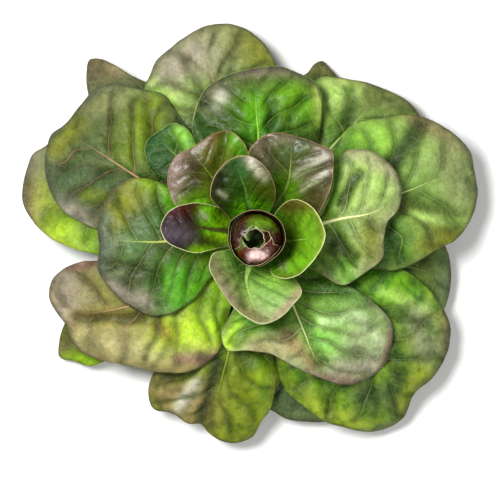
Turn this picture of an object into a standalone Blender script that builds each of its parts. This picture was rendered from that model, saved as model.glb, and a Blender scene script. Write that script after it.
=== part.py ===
"""A cut head of red butterhead lettuce, an open rosette resting on its cut stem.

Every leaf is its own thin solid. A leaf's blade is laid out in plan between its two side edges,
its stalk end and its front edge, and is then raised into a bowl round the stem. The leaves are
laid from the lowest to the highest, and each is lifted clear of the ones below it. The heart's
leaves are cups wrapped inside one another.

The origin is the centre of the cut face of the stem, +Z is up along the stem. Points of the plan
are in millimetres from the stem's axis. Along a leaf, 0 is its stalk and 1 its front edge. Across
it, the middle is 0 and the two sides are -1 and 1.
"""

import math
import random

import bmesh
import bpy
import numpy as np

MM = 0.001

# Stem: radius and height of its turned outline, from the cut face to the growing point.
STEM_OUTLINE = [(12.5, 0), (12.5, 5), (11.2, 14), (9.6, 26), (8.4, 35), (6.4, 41), (4.2, 46), (2.0, 51)]
STEM_TIP = 53
STEM_SIDES = 24
STEM_COLOUR = (0.62, 0.72, 0.36)
STEM_ROUGHNESS = 0.5
STEM_MERGE = 0.00001

# Leaves: a fleshy midrib thins out into the blade. It lies in a channel, which fades towards the tip.
BLADE_THICKNESS = 0.7
RIB_THICKNESS = 1.7
RIB_WIDTH = 0.22
RIB_THINNING = 1.5
CHANNEL_DEPTH = 1.6
CHANNEL_WIDTH = 0.11

# The ruffle of the margin: its turns round the leaf with the share of each, the point along the
# midrib that it turns about, and where it begins.
RUFFLES = ((5, 0.6), (9, 0.4))
RUFFLE_CENTRE = 0.25
RUFFLE_FROM_ALONG = 0.55
RUFFLE_FROM_ACROSS = 0.5
BLADE_BEGINS, BLADE_IS_FULL = 0.1, 0.6

# A fold reaches its depth at this share of its length.
FOLD_IS_DEEP = 0.4

# A leaf is kept clear of the ones below it.
GAP = 0.9
LOWEST_UNDERSIDE = 0.5
LIFT_SPREADS = 3
STEEPEST_UPRIGHT = 0.25

# The rosette, from its lowest leaf to its highest.
STALK_RADIUS = (13.2, 9.9)
STALK_HEIGHT = (7.0, 36.0)
STALK_HALF_ANGLE = (38, 52)
LOWEST_TIP = 5.0
TIP_RISE = 92.0
TIP_RISE_POWER = 1.2
TIP_DROOP = 0.55
DROOP_REACH = 140.0
BULGE = (0.15, 0.22)

# The surface of a leaf is read at this many steps across it and along it.
LARGE_STEPS = (12, 9)
SMALL_STEPS = (8, 6)
SMALL_LEAF_REACH = 60

# The margin is read at many points, of which the front edge takes this share on each side of the tip.
MARGIN_POINTS = 400
FRONT_SHARE = 0.24
SIDE_READING, FRONT_READING = 6, 4

# What already lies below is kept on a square plan grid.
PLAN_HALF = 150
PLAN_CELL = 0.5
FINE_STEPS = 20

LEAF_ROUGHNESS = 0.42
GREEN = (0.20, 0.33, 0.07)
OLIVE = (0.23, 0.27, 0.09)
TAUPE = (0.24, 0.20, 0.15)
BURGUNDY = (0.12, 0.05, 0.05)

# The margin of each leaf runs from its left side, as seen from the stem, round its tip to its right.
# The wave is the height of the ruffle of the margin, and the arch is how far its sides droop. A fold
# has its start and end in plan, its depth, less than 0 where it is a ridge, and its width.
LEAVES = [
    dict(name="outer_leaf_01", heading=69, tip=(39, 104), wave=1.5, arch=4, colour=OLIVE,
         margin=[(-5, 50), (8, 78), (23, 92), (31, 98), (34, 102), (39, 104), (42, 101), (52, 88),
                 (62, 68), (56, 40), (30, 18)]),
    dict(name="outer_leaf_02", heading=133, tip=(-99, 104), wave=1.5, arch=5, colour=OLIVE,
         margin=[(-50, 22), (-92, 52), (-98, 76), (-101, 95), (-99, 105), (-93, 105), (-84, 101),
                 (-76, 96), (-52, 84), (-30, 60), (-12, 30)]),
    dict(name="outer_leaf_03", heading=214, tip=(-116, -73), wave=2, arch=4, colour=OLIVE,
         margin=[(-14, -35), (-50, -66), (-84, -71), (-100, -77), (-109, -74), (-117, -72),
                 (-117, -62), (-108, -42), (-82, -18), (-40, -4)]),
    dict(name="outer_leaf_04", heading=283, tip=(30, -110), wave=2, arch=4, colour=OLIVE,
         margin=[(32, -25), (60, -58), (62, -92), (52, -106), (41, -110), (30, -110), (20, -109),
                 (8, -103), (-8, -88), (-18, -60), (-14, -35)]),
    dict(name="outer_leaf_05", heading=346, tip=(114, -25), wave=2, arch=4, colour=OLIVE,
         margin=[(30, 20), (68, 32), (96, 20), (107, 2), (113, -10), (115, -22), (114, -33),
                 (111, -43), (98, -58), (65, -58), (30, -38)]),
    dict(name="outer_leaf_06", heading=170, tip=(-139, 26), wave=2.5, arch=4, colour=OLIVE,
         margin=[(-22, -14), (-60, -21), (-93, -11), (-112, -6), (-122, -1), (-131, 7), (-138, 18),
                 (-139, 28), (-137, 38), (-133, 48), (-124, 54), (-118, 62), (-100, 62), (-60, 45)]),
    dict(name="outer_leaf_07", heading=52, tip=(76, 87), wave=3, arch=5, colour=OLIVE,
         margin=[(5, 40), (20, 75), (33, 91), (39, 94), (46, 94), (57, 92), (64, 91), (73, 88),
                 (82, 84), (90, 79), (96, 71), (94, 55), (75, 35), (40, 15)],
         folds=[((52, 50), (56, 88), 2.5, 4)]),
    dict(name="outer_leaf_08", heading=107, tip=(-36, 122), wave=3, arch=8, colour=OLIVE,
         margin=[(-35, 40), (-60, 70), (-67, 87), (-64, 93), (-59, 104), (-51, 111), (-43, 117),
                 (-35, 122), (-25, 125), (-14, 125), (-6, 122), (2, 116), (7, 110), (11, 101),
                 (14, 80), (10, 45)],
         folds=[((-24, 70), (-42, 102), 2.2, 3.5), ((-19, 74), (-14, 104), 1.6, 3)]),
    dict(name="outer_leaf_09", heading=260, tip=(-31, -113), wave=3, arch=5, colour=OLIVE,
         margin=[(12, -50), (14, -85), (10, -93), (8, -102), (3, -109), (-3, -119), (-11, -122),
                 (-21, -121), (-29, -116), (-33, -111), (-40, -111), (-49, -105), (-62, -101),
                 (-64, -96), (-62, -82), (-55, -70), (-35, -45)],
         folds=[((-20, -65), (-31, -110), 5, 6), ((-30, -78), (-42, -102), 2.5, 4),
                ((-34, -76), (-58, -86), 2.5, 4)]),
    dict(name="outer_leaf_10", heading=315, tip=(92, -93), wave=4, arch=8, colour=GREEN,
         margin=[(30, -6), (60, -10), (93, -24), (103, -33), (110, -43), (114, -53), (113, -66),
                 (105, -82), (92, -94), (87, -107), (77, -114), (66, -116), (52, -113), (41, -110),
                 (29, -101), (16, -90), (10, -70), (5, -40)],
         folds=[((62, -44), (98, -50), 3.5, 4.5), ((76, -62), (84, -92), 3, 5),
                ((36, -74), (44, -106), 2.5, 5)]),
    dict(name="outer_leaf_11", heading=210, tip=(-119, -46), wave=3.5, arch=8, colour=TAUPE,
         margin=[(-14, -40), (-24, -70), (-37, -79), (-58, -80), (-78, -76), (-95, -72), (-106, -66),
                 (-111, -57), (-113, -52), (-119, -44), (-122, -38), (-121, -26), (-115, -20),
                 (-103, -15), (-92, -14), (-75, -10), (-40, -6)],
         folds=[((-50, -48), (-106, -48), 3, 4), ((-46, -58), (-60, -76), 2, 3.5),
                ((-36, -66), (-26, -76), 2.5, 4)]),
    dict(name="outer_leaf_12", heading=149, tip=(-115, 64), wave=3.5, arch=9, colour=TAUPE,
         margin=[(-20, -3), (-45, -6), (-80, -2), (-101, 7), (-109, 11), (-119, 21), (-124, 34),
                 (-124, 51), (-120, 61), (-114, 65), (-105, 76), (-96, 86), (-82, 90), (-72, 87),
                 (-53, 82), (-48, 74), (-38, 60), (-25, 35)],
         folds=[((-62, 36), (-64, 78), 2.2, 4), ((-70, 34), (-112, 40), 2.2, 5),
                ((-60, 26), (-92, 6), 2.2, 5)]),
    dict(name="outer_leaf_13", heading=18, tip=(128, 38), wave=4, arch=8, colour=TAUPE,
         margin=[(30, 40), (47, 53), (50, 60), (57, 66), (66, 68), (77, 70), (86, 71), (97, 70),
                 (106, 66), (118, 58), (126, 48), (128, 37), (130, 26), (126, 10), (116, -3),
                 (106, -8), (96, -14), (83, -20), (60, -18), (30, -9)],
         folds=[((80, 24), (121, 8), 5, 7), ((72, 30), (96, 66), 4, 5), ((70, 18), (84, -14), 2, 4)]),
    dict(name="middle_leaf_1", heading=130, tip=(-61, 60), wave=2, arch=3, colour=GREEN,
         margin=[(-25, 15), (-50, 28), (-64, 42), (-65, 55), (-58, 61), (-49, 66), (-40, 62),
                 (-36, 54), (-28, 40), (-15, 25)],
         folds=[((-36, 34), (-52, 62), 2.5, 3)]),
    dict(name="middle_leaf_2", heading=90, tip=(-3, 98), wave=3, arch=9, colour=GREEN,
         margin=[(-22, 35), (-34, 48), (-38, 62), (-36, 74), (-32, 84), (-22, 92), (-11, 96), (4, 99),
                 (14, 99), (25, 95), (34, 90), (38, 80), (38, 71), (36, 58), (28, 40), (12, 22)],
         folds=[((6, 56), (9, 76), 2.8, 3.5), ((17, 62), (26, 80), 2.2, 3), ((-10, 60), (-30, 78), 2.2, 4)]),
    dict(name="middle_leaf_3", heading=300, tip=(44, -85), wave=3, arch=8, colour=GREEN,
         margin=[(30, -14), (56, -30), (70, -40), (79, -51), (79, -63), (75, -75), (66, -83),
                 (51, -87), (37, -83), (21, -76), (8, -69), (-6, -67), (-19, -66), (-21, -56),
                 (-16, -46), (-8, -30)],
         folds=[((24, -40), (38, -72), 3.5, 4), ((34, -42), (66, -52), 2.5, 4),
                ((0, -46), (-12, -62), 2.5, 4), ((56, -60), (64, -78), 1.8, 5)]),
    dict(name="middle_leaf_4", heading=198, tip=(-93, 0), wave=2.5, arch=9, colour=TAUPE,
         margin=[(-22, -20), (-40, -40), (-59, -47), (-78, -39), (-85, -32), (-93, -19), (-92, -7),
                 (-93, 6), (-90, 18), (-84, 27), (-76, 33), (-66, 34), (-50, 29), (-30, 20)],
         folds=[((-56, -14), (-57, -38), 4, 4), ((-62, -20), (-88, -16), 2.5, 4),
                ((-60, 2), (-82, 20), 2.2, 5)]),
    dict(name="middle_leaf_5", heading=9, tip=(83, 24), wave=2.5, arch=7, colour=GREEN,
         margin=[(28, 30), (45, 44), (53, 50), (67, 49), (76, 43), (82, 35), (84, 27), (82, 15),
                 (76, 8), (74, 0), (73, -13), (62, -22), (50, -29), (36, -22), (18, -12)],
         folds=[((44, 14), (60, 36), 3.2, 3.5), ((38, 0), (56, -12), 4, 4.5), ((60, 8), (74, 4), 2, 4)]),
    dict(name="inner_leaf_1", heading=130, tip=(-40, 50), wave=2, arch=-2, colour=BURGUNDY,
         margin=[(-30, 10), (-49, 20), (-52, 30), (-51, 40), (-45, 48), (-38, 51), (-31, 56),
                 (-23, 60), (-17, 61), (-10, 57), (-4, 46), (-3, 25)],
         folds=[((-26, 28), (-18, 60), 4, 3.5)]),
    dict(name="inner_leaf_2", heading=60, tip=(20, 58), wave=2, arch=-1, colour=BURGUNDY,
         margin=[(-2, 25), (-5, 40), (-5, 49), (1, 56), (12, 60), (21, 58), (36, 53), (43, 49),
                 (44, 38), (41, 23), (34, 11), (20, 4)],
         folds=[((14, 30), (6, 56), 3, 3.5), ((18, 32), (42, 42), 2.5, 2.6), ((24, 22), (42, 32), 2, 2.6)]),
    dict(name="inner_leaf_3", heading=172, tip=(-56, 5), wave=1.5, arch=-4, colour=BURGUNDY,
         margin=[(-20, -7), (-34, -10), (-44, -8), (-53, -3), (-56, 4), (-53, 12), (-46, 17),
                 (-32, 19), (-20, 16)]),
    dict(name="inner_leaf_4", heading=255, tip=(2, -51), wave=1.5, arch=1, colour=GREEN,
         margin=[(9, -14), (22, -25), (26, -32), (20, -41), (12, -48), (3, -51), (-8, -46),
                 (-16, -39), (-23, -29), (-28, -17), (-26, -10), (-18, -8)],
         folds=[((-10, -12), (-8, -38), 3.5, 3.5)]),
    dict(name="inner_leaf_5", heading=352, tip=(38, 0), wave=1.2, arch=-5, colour=GREEN,
         margin=[(12, 16), (20, 21), (28, 19), (36, 10), (39, 0), (36, -9), (31, -16), (23, -23),
                 (15, -25), (8, -22), (8, -12)]),
    dict(name="inner_leaf_6", heading=112, tip=(-14, 44), wave=1.2, arch=-3, colour=BURGUNDY,
         margin=[(-20, 14), (-27, 22), (-25, 33), (-21, 39), (-15, 44), (-6, 46), (2, 42), (8, 34),
                 (11, 24), (8, 14)],
         folds=[((-6, 16), (-13, 40), 2, 3), ((-16, 24), (-22, 34), 1.6, 3)]),
]

# Heart: cups wrapped inside one another. Each has the heading of its middle, the angle that it
# wraps, the height of its foot on the stem, its widest radius and the height of that, how much
# higher it then curls in or flares, the radius of the mouth that it turns towards, how much of that
# outline it has, and how far it leans towards its heading.
HEART_LEAVES = [
    dict(name="heart_leaf_1", heading=60, wrap=290, foot=40.5, belly=15.6, shoulder=70, crown=20,
         mouth=18.6, reach=0.88, lean=0, colour=BURGUNDY),
    dict(name="heart_leaf_2", heading=240, wrap=210, foot=43.0, belly=14.2, shoulder=70, crown=17,
         mouth=15.2, reach=0.88, lean=0, colour=BURGUNDY),
    dict(name="heart_leaf_3", heading=95, wrap=225, foot=45.5, belly=12.8, shoulder=77, crown=9,
         mouth=3.4, reach=1.0, lean=0, colour=GREEN),
    dict(name="heart_leaf_4", heading=275, wrap=235, foot=48.0, belly=11.2, shoulder=76, crown=8,
         mouth=3.2, reach=1.0, lean=0.9, colour=BURGUNDY),
    dict(name="heart_leaf_5", heading=10, wrap=280, foot=50.0, belly=9.6, shoulder=75, crown=7,
         mouth=2.2, reach=0.96, lean=0, colour=BURGUNDY),
]
HEART_STEPS = (14, 9)
HEART_WALL_SHARE = 0.62
HEART_WIDENING = 1.6
HEART_WRAP_BEGINS, HEART_WRAP_IS_FULL = -0.3, 0.5
HEART_SIDE_DROP = 0.12
HEART_OVAL = 0.03
HEART_OVAL_HEADING = 35
HEART_SHIFT = (-0.9, -1.9)
HEART_FOOT_GAP = 0.5
HEART_THICKNESS = 0.8


def even_curve(points, count):
    """Points spaced evenly along a smooth curve through the given ones."""
    points = np.array(points, float)
    step = np.linalg.norm(np.diff(points, axis=0), axis=1)
    length = np.concatenate([[0], np.cumsum(step)])
    slope = np.gradient(points, length, axis=0)
    where = np.linspace(0, length[-1], 20 * len(points))
    k = np.clip(np.searchsorted(length, where, side="right") - 1, 0, len(step) - 1)
    span = step[k][:, None]
    u = (where - length[k])[:, None] / span
    curve = (
        points[k] * (1 + 2 * u) * (1 - u) ** 2
        + points[k + 1] * (3 - 2 * u) * u**2
        + slope[k] * span * u * (1 - u) ** 2
        - slope[k + 1] * span * u**2 * (1 - u)
    )
    run = np.concatenate([[0], np.cumsum(np.linalg.norm(np.diff(curve, axis=0), axis=1))])
    even = np.linspace(0, run[-1], count)
    return np.column_stack([np.interp(even, run, curve[:, axis]) for axis in (0, 1)])


def between(ends, share):
    return ends[0] + (ends[1] - ends[0]) * share


def smooth_step(low, high, value):
    share = np.clip((value - low) / (high - low), 0, 1)
    return share * share * (3 - 2 * share)


def on_circle(radius, degrees):
    angle = np.radians(degrees)
    return np.stack([radius * np.cos(angle), radius * np.sin(angle)], axis=-1)


def lattice(columns, rows):
    """The share of the way along the leaf and across it, at each point of its grid."""
    return np.meshgrid(np.linspace(0, 1, rows + 1), np.linspace(0, 1, columns + 1), indexing="ij")


def plan_of(leaf, level, columns, rows):
    """The blade's plan: its side edges, its stalk and its front edge, and what lies between them."""
    stalk = between(STALK_RADIUS, level)
    half_angle = between(STALK_HALF_ANGLE, level)
    first = on_circle(stalk, leaf["heading"] + half_angle)
    last = on_circle(stalk, leaf["heading"] - half_angle)
    margin = even_curve([first, *leaf["margin"], last], MARGIN_POINTS)
    tip = int(np.argmin(np.linalg.norm(margin - np.array(leaf["tip"]), axis=1)))
    start = tip - int(FRONT_SHARE * MARGIN_POINTS)
    end = tip + int(FRONT_SHARE * MARGIN_POINTS)
    left = even_curve(margin[: start + 1 : SIDE_READING], rows + 1)
    right = even_curve(margin[end:][::-SIDE_READING], rows + 1)
    front = even_curve(margin[start : end + 1 : FRONT_READING], columns + 1)
    left[-1], right[-1] = front[0], front[-1]
    s = np.linspace(0, 1, columns + 1)[None, :, None]
    t = np.linspace(0, 1, rows + 1)[:, None, None]
    foot = on_circle(stalk, leaf["heading"] + half_angle * (1 - 2 * s[..., 0]))[0][None]
    corners = (1 - s) * (1 - t) * foot[:, :1] + s * (1 - t) * foot[:, -1:]
    corners = corners + (1 - s) * t * front[0] + s * t * front[-1]
    return (1 - s) * left[:, None] + s * right[:, None] + (1 - t) * foot + t * front[None] - corners


def height_of(leaf, level, plan, draw):
    """The blade's height: a bowl round the stem, with the leaf's own arch, channel, ruffle and folds."""
    t, s = lattice(plan.shape[1] - 1, plan.shape[0] - 1)
    across = 2 * s - 1
    stalk = between(STALK_RADIUS, level)
    reach = math.hypot(*leaf["tip"])
    out = (np.hypot(plan[..., 0], plan[..., 1]) - stalk) / (reach - stalk)
    foot = between(STALK_HEIGHT, level)
    tip = LOWEST_TIP + TIP_RISE * level**TIP_RISE_POWER * (1 - TIP_DROOP * (reach / DROOP_REACH) ** 2)
    bulge = between(BULGE, level) * (reach - stalk)
    height = foot + (tip - foot) * out + 4 * bulge * out * (1 - out)
    blade = smooth_step(BLADE_BEGINS, BLADE_IS_FULL, t)
    height = height - leaf["arch"] * across**2 * blade
    height = height - CHANNEL_DEPTH * np.exp(-((across / CHANNEL_WIDTH) ** 2)) * (1 - t)
    side = smooth_step(RUFFLE_FROM_ACROSS, 1, np.abs(across)) * blade
    edge = np.maximum(smooth_step(RUFFLE_FROM_ALONG, 1, t), side)
    round_margin = np.arctan2(across, t + RUFFLE_CENTRE)
    for turns, share in RUFFLES:
        phase = draw.uniform(0, 2 * math.pi)
        height = height + leaf["wave"] * share * edge * np.sin(turns * round_margin + phase)
    for start, end, depth, width in leaf.get("folds", []):
        start, line = np.array(start), np.subtract(end, start)
        along = np.clip((plan - start) @ line / (line @ line), 0, 1)
        far = np.linalg.norm(plan - start - along[..., None] * line, axis=-1)
        height = height - depth * smooth_step(0, FOLD_IS_DEEP, along) * np.exp(-((far / width) ** 2))
    return height


def finer(grid, steps):
    """The grid's values read between its points, in straight lines."""
    rows, columns = grid.shape
    down = np.linspace(0, rows - 1, (rows - 1) * steps + 1)
    along = np.linspace(0, columns - 1, (columns - 1) * steps + 1)
    tall = np.stack([np.interp(down, np.arange(rows), grid[:, k]) for k in range(columns)], axis=1)
    return np.stack([np.interp(along, np.arange(columns), row) for row in tall])


def lift_clear(plan, height, thickness, laid):
    """The height raised where needed, so that the leaf's underside clears what is laid below it."""
    x, y, z = (finer(grid, FINE_STEPS) for grid in (plan[..., 0], plan[..., 1], height))
    surface = np.stack([x, y, z], axis=-1)
    normal = np.cross(np.gradient(surface, axis=1), np.gradient(surface, axis=0))
    upright = np.abs(normal[..., 2]) / np.maximum(np.linalg.norm(normal, axis=-1), 1e-9)
    upright = np.maximum(upright, STEEPEST_UPRIGHT)
    column = np.round((x + PLAN_HALF) / PLAN_CELL).astype(int)
    row = np.round((y + PLAN_HALF) / PLAN_CELL).astype(int)
    below = np.max([laid[row + a, column + b] for a in (-1, 0, 1) for b in (-1, 0, 1)], axis=0)
    need = np.maximum(0, below + finer(thickness, FINE_STEPS) / upright + GAP - z)
    lift = np.empty_like(height)
    for r in range(height.shape[0]):
        for c in range(height.shape[1]):
            low_r, low_c = max(0, (r - 1) * FINE_STEPS), max(0, (c - 1) * FINE_STEPS)
            near = need[low_r : (r + 1) * FINE_STEPS + 1, low_c : (c + 1) * FINE_STEPS + 1]
            lift[r, c] = near.max()
    for _ in range(LIFT_SPREADS):
        spread = np.pad(lift, 1, mode="edge")
        beside = (spread[:-2, 1:-1] + spread[2:, 1:-1] + spread[1:-1, :-2] + spread[1:-1, 2:]) / 4
        lift = np.maximum(lift, beside)
    height = height + lift
    np.maximum.at(laid, (row, column), finer(height, FINE_STEPS))
    return height


def sheet_object(name, surface, thickness, colour, collection):
    """A leaf: a grid bent to the surface, split into triangles and given its thickness below."""
    rows, columns = surface.shape[0] - 1, surface.shape[1] - 1
    thickest = float(thickness.max())
    grid = bmesh.new()
    bmesh.ops.create_grid(grid, x_segments=columns, y_segments=rows, size=0.5)
    weights = grid.verts.layers.deform.verify()
    for vertex in grid.verts:
        c = round((vertex.co.x + 0.5) * columns)
        r = round((vertex.co.y + 0.5) * rows)
        vertex.co = surface[r, c] * MM
        vertex[weights][0] = float(thickness[r, c]) / thickest
    bmesh.ops.triangulate(grid, faces=grid.faces[:], quad_method="FIXED")
    mesh = bpy.data.meshes.new(name)
    grid.to_mesh(mesh)
    grid.free()
    mesh.shade_smooth()
    mesh.materials.append(plain_material(name, colour, LEAF_ROUGHNESS))
    leaf = bpy.data.objects.new(name, mesh)
    leaf.vertex_groups.new(name="thickness")
    collection.objects.link(leaf)
    solid = leaf.modifiers.new("Thickness", "SOLIDIFY")
    solid.thickness = thickest * MM
    solid.offset = -1
    solid.vertex_group = "thickness"
    return leaf


def plain_material(name, colour, roughness):
    material = bpy.data.materials.new(name)
    material.use_nodes = True
    shader = material.node_tree.nodes["Principled BSDF"]
    shader.inputs["Base Color"].default_value = (*colour, 1)
    shader.inputs["Roughness"].default_value = roughness
    shader.inputs["Metallic"].default_value = 0
    return material


def blade_thickness(columns, rows):
    """The midrib's thickness at the stalk, thinning along the leaf and quickly across it."""
    t, s = lattice(columns, rows)
    rib = np.exp(-(((2 * s - 1) / RIB_WIDTH) ** 2)) * (1 - t) ** RIB_THINNING
    return BLADE_THICKNESS + (RIB_THICKNESS - BLADE_THICKNESS) * rib


def add_rosette(collection):
    cells = int(2 * PLAN_HALF / PLAN_CELL) + 1
    laid = np.full((cells, cells), LOWEST_UNDERSIDE)
    for index, leaf in enumerate(LEAVES):
        level = index / (len(LEAVES) - 1)
        columns, rows = SMALL_STEPS if math.hypot(*leaf["tip"]) < SMALL_LEAF_REACH else LARGE_STEPS
        plan = plan_of(leaf, level, columns, rows)
        height = height_of(leaf, level, plan, random.Random(index))
        thickness = blade_thickness(columns, rows)
        height = lift_clear(plan, height, thickness, laid)
        surface = np.dstack([plan, height])
        sheet_object(leaf["name"], surface, thickness, leaf["colour"], collection)


def heart_cup(leaf, t, s):
    """A cup: a wall that widens from the stem up to its shoulder, then a crown that curls in."""
    across = 2 * s - 1
    wrapped = smooth_step(HEART_WRAP_BEGINS, HEART_WRAP_IS_FULL, t)
    angle = np.radians(leaf["heading"] - across * leaf["wrap"] / 2 * wrapped)
    radii, heights = zip(*STEM_OUTLINE)
    foot = float(np.interp(leaf["foot"], heights, radii)) + HEART_FOOT_GAP + HEART_THICKNESS
    outline = t * leaf["reach"] * (1 - HEART_SIDE_DROP * across**2)
    rise = np.clip(outline / HEART_WALL_SHARE, 0, 1)
    widen = np.sin(rise * math.pi / 2) ** HEART_WIDENING
    curl = np.clip((outline - HEART_WALL_SHARE) / (1 - HEART_WALL_SHARE), 0, 1) * math.pi / 2
    radius = foot + (leaf["belly"] - foot) * widen - (leaf["belly"] - leaf["mouth"]) * (1 - np.cos(curl))
    oval = np.cos(2 * (angle - math.radians(HEART_OVAL_HEADING)))
    radius = radius * (1 + HEART_OVAL * oval * widen)
    height = leaf["foot"] + (leaf["shoulder"] - leaf["foot"]) * rise + leaf["crown"] * np.sin(curl)
    shift = on_circle(leaf["lean"], leaf["heading"]) + HEART_SHIFT
    x, y = radius * np.cos(angle) + shift[0] * rise, radius * np.sin(angle) + shift[1] * rise
    return np.stack([x, y, height], axis=-1)


def add_heart(collection):
    t, s = lattice(*HEART_STEPS)
    for leaf in HEART_LEAVES:
        thickness = np.full(t.shape, HEART_THICKNESS)
        sheet_object(leaf["name"], heart_cup(leaf, t, s), thickness, leaf["colour"], collection)


def add_stem(collection):
    """The stem, turned: a profile from its growing point down the outside to the middle of the cut face."""
    profile = [(0, STEM_TIP), *reversed(STEM_OUTLINE), (0, 0)]
    mesh = bpy.data.meshes.new("stem")
    points = [(radius * MM, 0, height * MM) for radius, height in profile]
    mesh.from_pydata(points, [(k, k + 1) for k in range(len(points) - 1)], [])
    mesh.materials.append(plain_material("stem", STEM_COLOUR, STEM_ROUGHNESS))
    stem = bpy.data.objects.new("stem", mesh)
    collection.objects.link(stem)
    turn = stem.modifiers.new("Turned", "SCREW")
    turn.axis = "Z"
    turn.angle = 2 * math.pi
    turn.steps = turn.render_steps = STEM_SIDES
    turn.use_merge_vertices = True
    turn.merge_threshold = STEM_MERGE
    turn.use_smooth_shade = True


for old in list(bpy.data.objects):
    bpy.data.objects.remove(old, do_unlink=True)
lettuce = bpy.data.collections.new("butterhead_lettuce")
bpy.context.scene.collection.children.link(lettuce)
add_stem(lettuce)
add_rosette(lettuce)
add_heart(lettuce)
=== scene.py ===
import math
import random

import bpy
import numpy as np
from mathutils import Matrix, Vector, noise


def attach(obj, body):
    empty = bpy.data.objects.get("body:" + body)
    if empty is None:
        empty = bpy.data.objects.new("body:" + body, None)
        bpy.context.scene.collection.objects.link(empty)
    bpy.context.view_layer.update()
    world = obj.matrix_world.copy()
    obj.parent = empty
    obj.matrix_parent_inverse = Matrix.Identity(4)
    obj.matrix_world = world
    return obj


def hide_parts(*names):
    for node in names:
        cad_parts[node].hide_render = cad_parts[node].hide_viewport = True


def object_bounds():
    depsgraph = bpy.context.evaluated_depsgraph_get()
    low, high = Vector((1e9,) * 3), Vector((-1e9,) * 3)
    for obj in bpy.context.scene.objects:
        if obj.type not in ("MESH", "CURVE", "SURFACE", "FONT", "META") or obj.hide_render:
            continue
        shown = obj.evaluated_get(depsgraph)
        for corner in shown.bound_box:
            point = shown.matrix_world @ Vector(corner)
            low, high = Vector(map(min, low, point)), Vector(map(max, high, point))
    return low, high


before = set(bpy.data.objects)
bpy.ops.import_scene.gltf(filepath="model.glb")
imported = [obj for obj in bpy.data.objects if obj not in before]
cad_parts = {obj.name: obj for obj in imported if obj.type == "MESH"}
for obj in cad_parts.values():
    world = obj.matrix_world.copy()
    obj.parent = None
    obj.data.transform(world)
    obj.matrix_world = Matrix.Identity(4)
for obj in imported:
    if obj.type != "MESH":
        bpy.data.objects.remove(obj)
cad_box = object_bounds()

# Camera: it looks straight down on the head, from far enough off that the raised heart is hardly
# enlarged. The stem's axis stands a little up and right of the middle of the square picture.
MM = 0.001
PICTURE_PIXELS = 500
MM_PER_PIXEL = 0.588
AXIS_PIXEL = (257, 236)
LENS_MM, SENSOR_MM, SIGHT = 300, 36, 10
FOCUS_HEIGHT = 0.014


def new_object(name, data):
    """An object in the scene, at the origin, unturned and unscaled."""
    made = bpy.data.objects.new(name, data)
    bpy.context.scene.collection.objects.link(made)
    return made


view = bpy.data.cameras.new("camera")
view.lens, view.sensor_width, view.clip_end = LENS_MM, SENSOR_MM, SIGHT
camera = new_object("camera", view)
distance = PICTURE_PIXELS * MM_PER_PIXEL * MM * LENS_MM / SENSOR_MM
camera.location = (
    (PICTURE_PIXELS / 2 - AXIS_PIXEL[0]) * MM_PER_PIXEL * MM,
    (AXIS_PIXEL[1] - PICTURE_PIXELS / 2) * MM_PER_PIXEL * MM,
    FOCUS_HEIGHT + distance,
)
bpy.context.scene.camera = camera

# Light: a white surround, a large soft lamp high on the far left that models the leaves, and a smaller
# one on the near right that picks out their waxy sheen. Each lamp has its place, size and power.
SURROUND_COLOUR, SURROUND_STRENGTH = (1, 1, 1, 1), 0.34
LAMPS = {"main_lamp": ((-0.4, 0.25, 1.15), 0.45, 18), "side_lamp": ((0.5, -0.8, 0.8), 0.25, 4)}
bpy.context.scene.view_settings.view_transform = "Standard"
surround = bpy.data.worlds.new("surround")
surround.use_nodes = True
surround.node_tree.nodes["Background"].inputs["Color"].default_value = SURROUND_COLOUR
surround.node_tree.nodes["Background"].inputs["Strength"].default_value = SURROUND_STRENGTH
bpy.context.scene.world = surround
for name, (place, size, power) in LAMPS.items():
    lamp = bpy.data.lights.new(name, "AREA")
    lamp.shape, lamp.size, lamp.energy = "DISK", size, power
    holder = new_object(name, lamp)
    holder.location = place
    holder.rotation_euler = holder.location.to_track_quat("Z", "Y").to_euler()

# Floor: a plain pale tabletop that the stem's cut face rests on.
FLOOR_SIZE, FLOOR_DROP = 6, 0.0003
FLOOR_COLOUR, FLOOR_ROUGHNESS = (0.93, 0.93, 0.92, 1), 0.8
bpy.ops.mesh.primitive_plane_add(size=FLOOR_SIZE, location=(0, 0, -FLOOR_DROP))
floor = bpy.context.object
floor.name = "floor"
pale = bpy.data.materials.new("pale_floor")
pale.use_nodes = True
paint = pale.node_tree.nodes["Principled BSDF"].inputs
paint["Base Color"].default_value = FLOOR_COLOUR
paint["Roughness"].default_value = FLOOR_ROUGHNESS
floor.data.materials.append(pale)


# Outer leaves: thirteen large thin leaves, spread wide and drooping at the rim. Each grows from the
# stem on a fleshy midrib that branches into side veins, with the blade puffed up between them.
def tone(colour):
    """The leaf's own colour where it is seen as this one of 0 to 255 parts, once wax adds its sheen."""
    gain, power, sheen, darkest, palest = 1.54, 1.25, 0.012, 0.003, 0.9
    share = np.array(colour) / 255
    seen = np.where(share <= 0.04045, share / 12.92, ((share + 0.055) / 1.055) ** 2.4)
    return np.clip(gain * seen**power - sheen, darkest, palest)


LIME, BRIGHT, LEAF, DEEP = (156, 184, 46), (116, 172, 38), (86, 130, 32), (48, 84, 20)
PALE, OLIVE, GREY_OLIVE = (168, 188, 118), (118, 122, 48), (116, 120, 78)
# The lavender grey on the next line is partly the leaves' own grey-mauve tint and partly painted sheen.
TAUPE, LAVENDER_AND_PAINTED_SHEEN, MAUVE, TEAL = (124, 110, 86), (140, 132, 122), (118, 94, 88), (62, 92, 58)
PLUM, CREAM, BLUSH = (48, 30, 34), (216, 212, 164), (178, 142, 116)
# The palest grey on the next line is painted sheen: small painted highlights, not a leaf colour.
SLATE, PAINTED_SHEEN = (94, 104, 92), (164, 162, 150)
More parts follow.
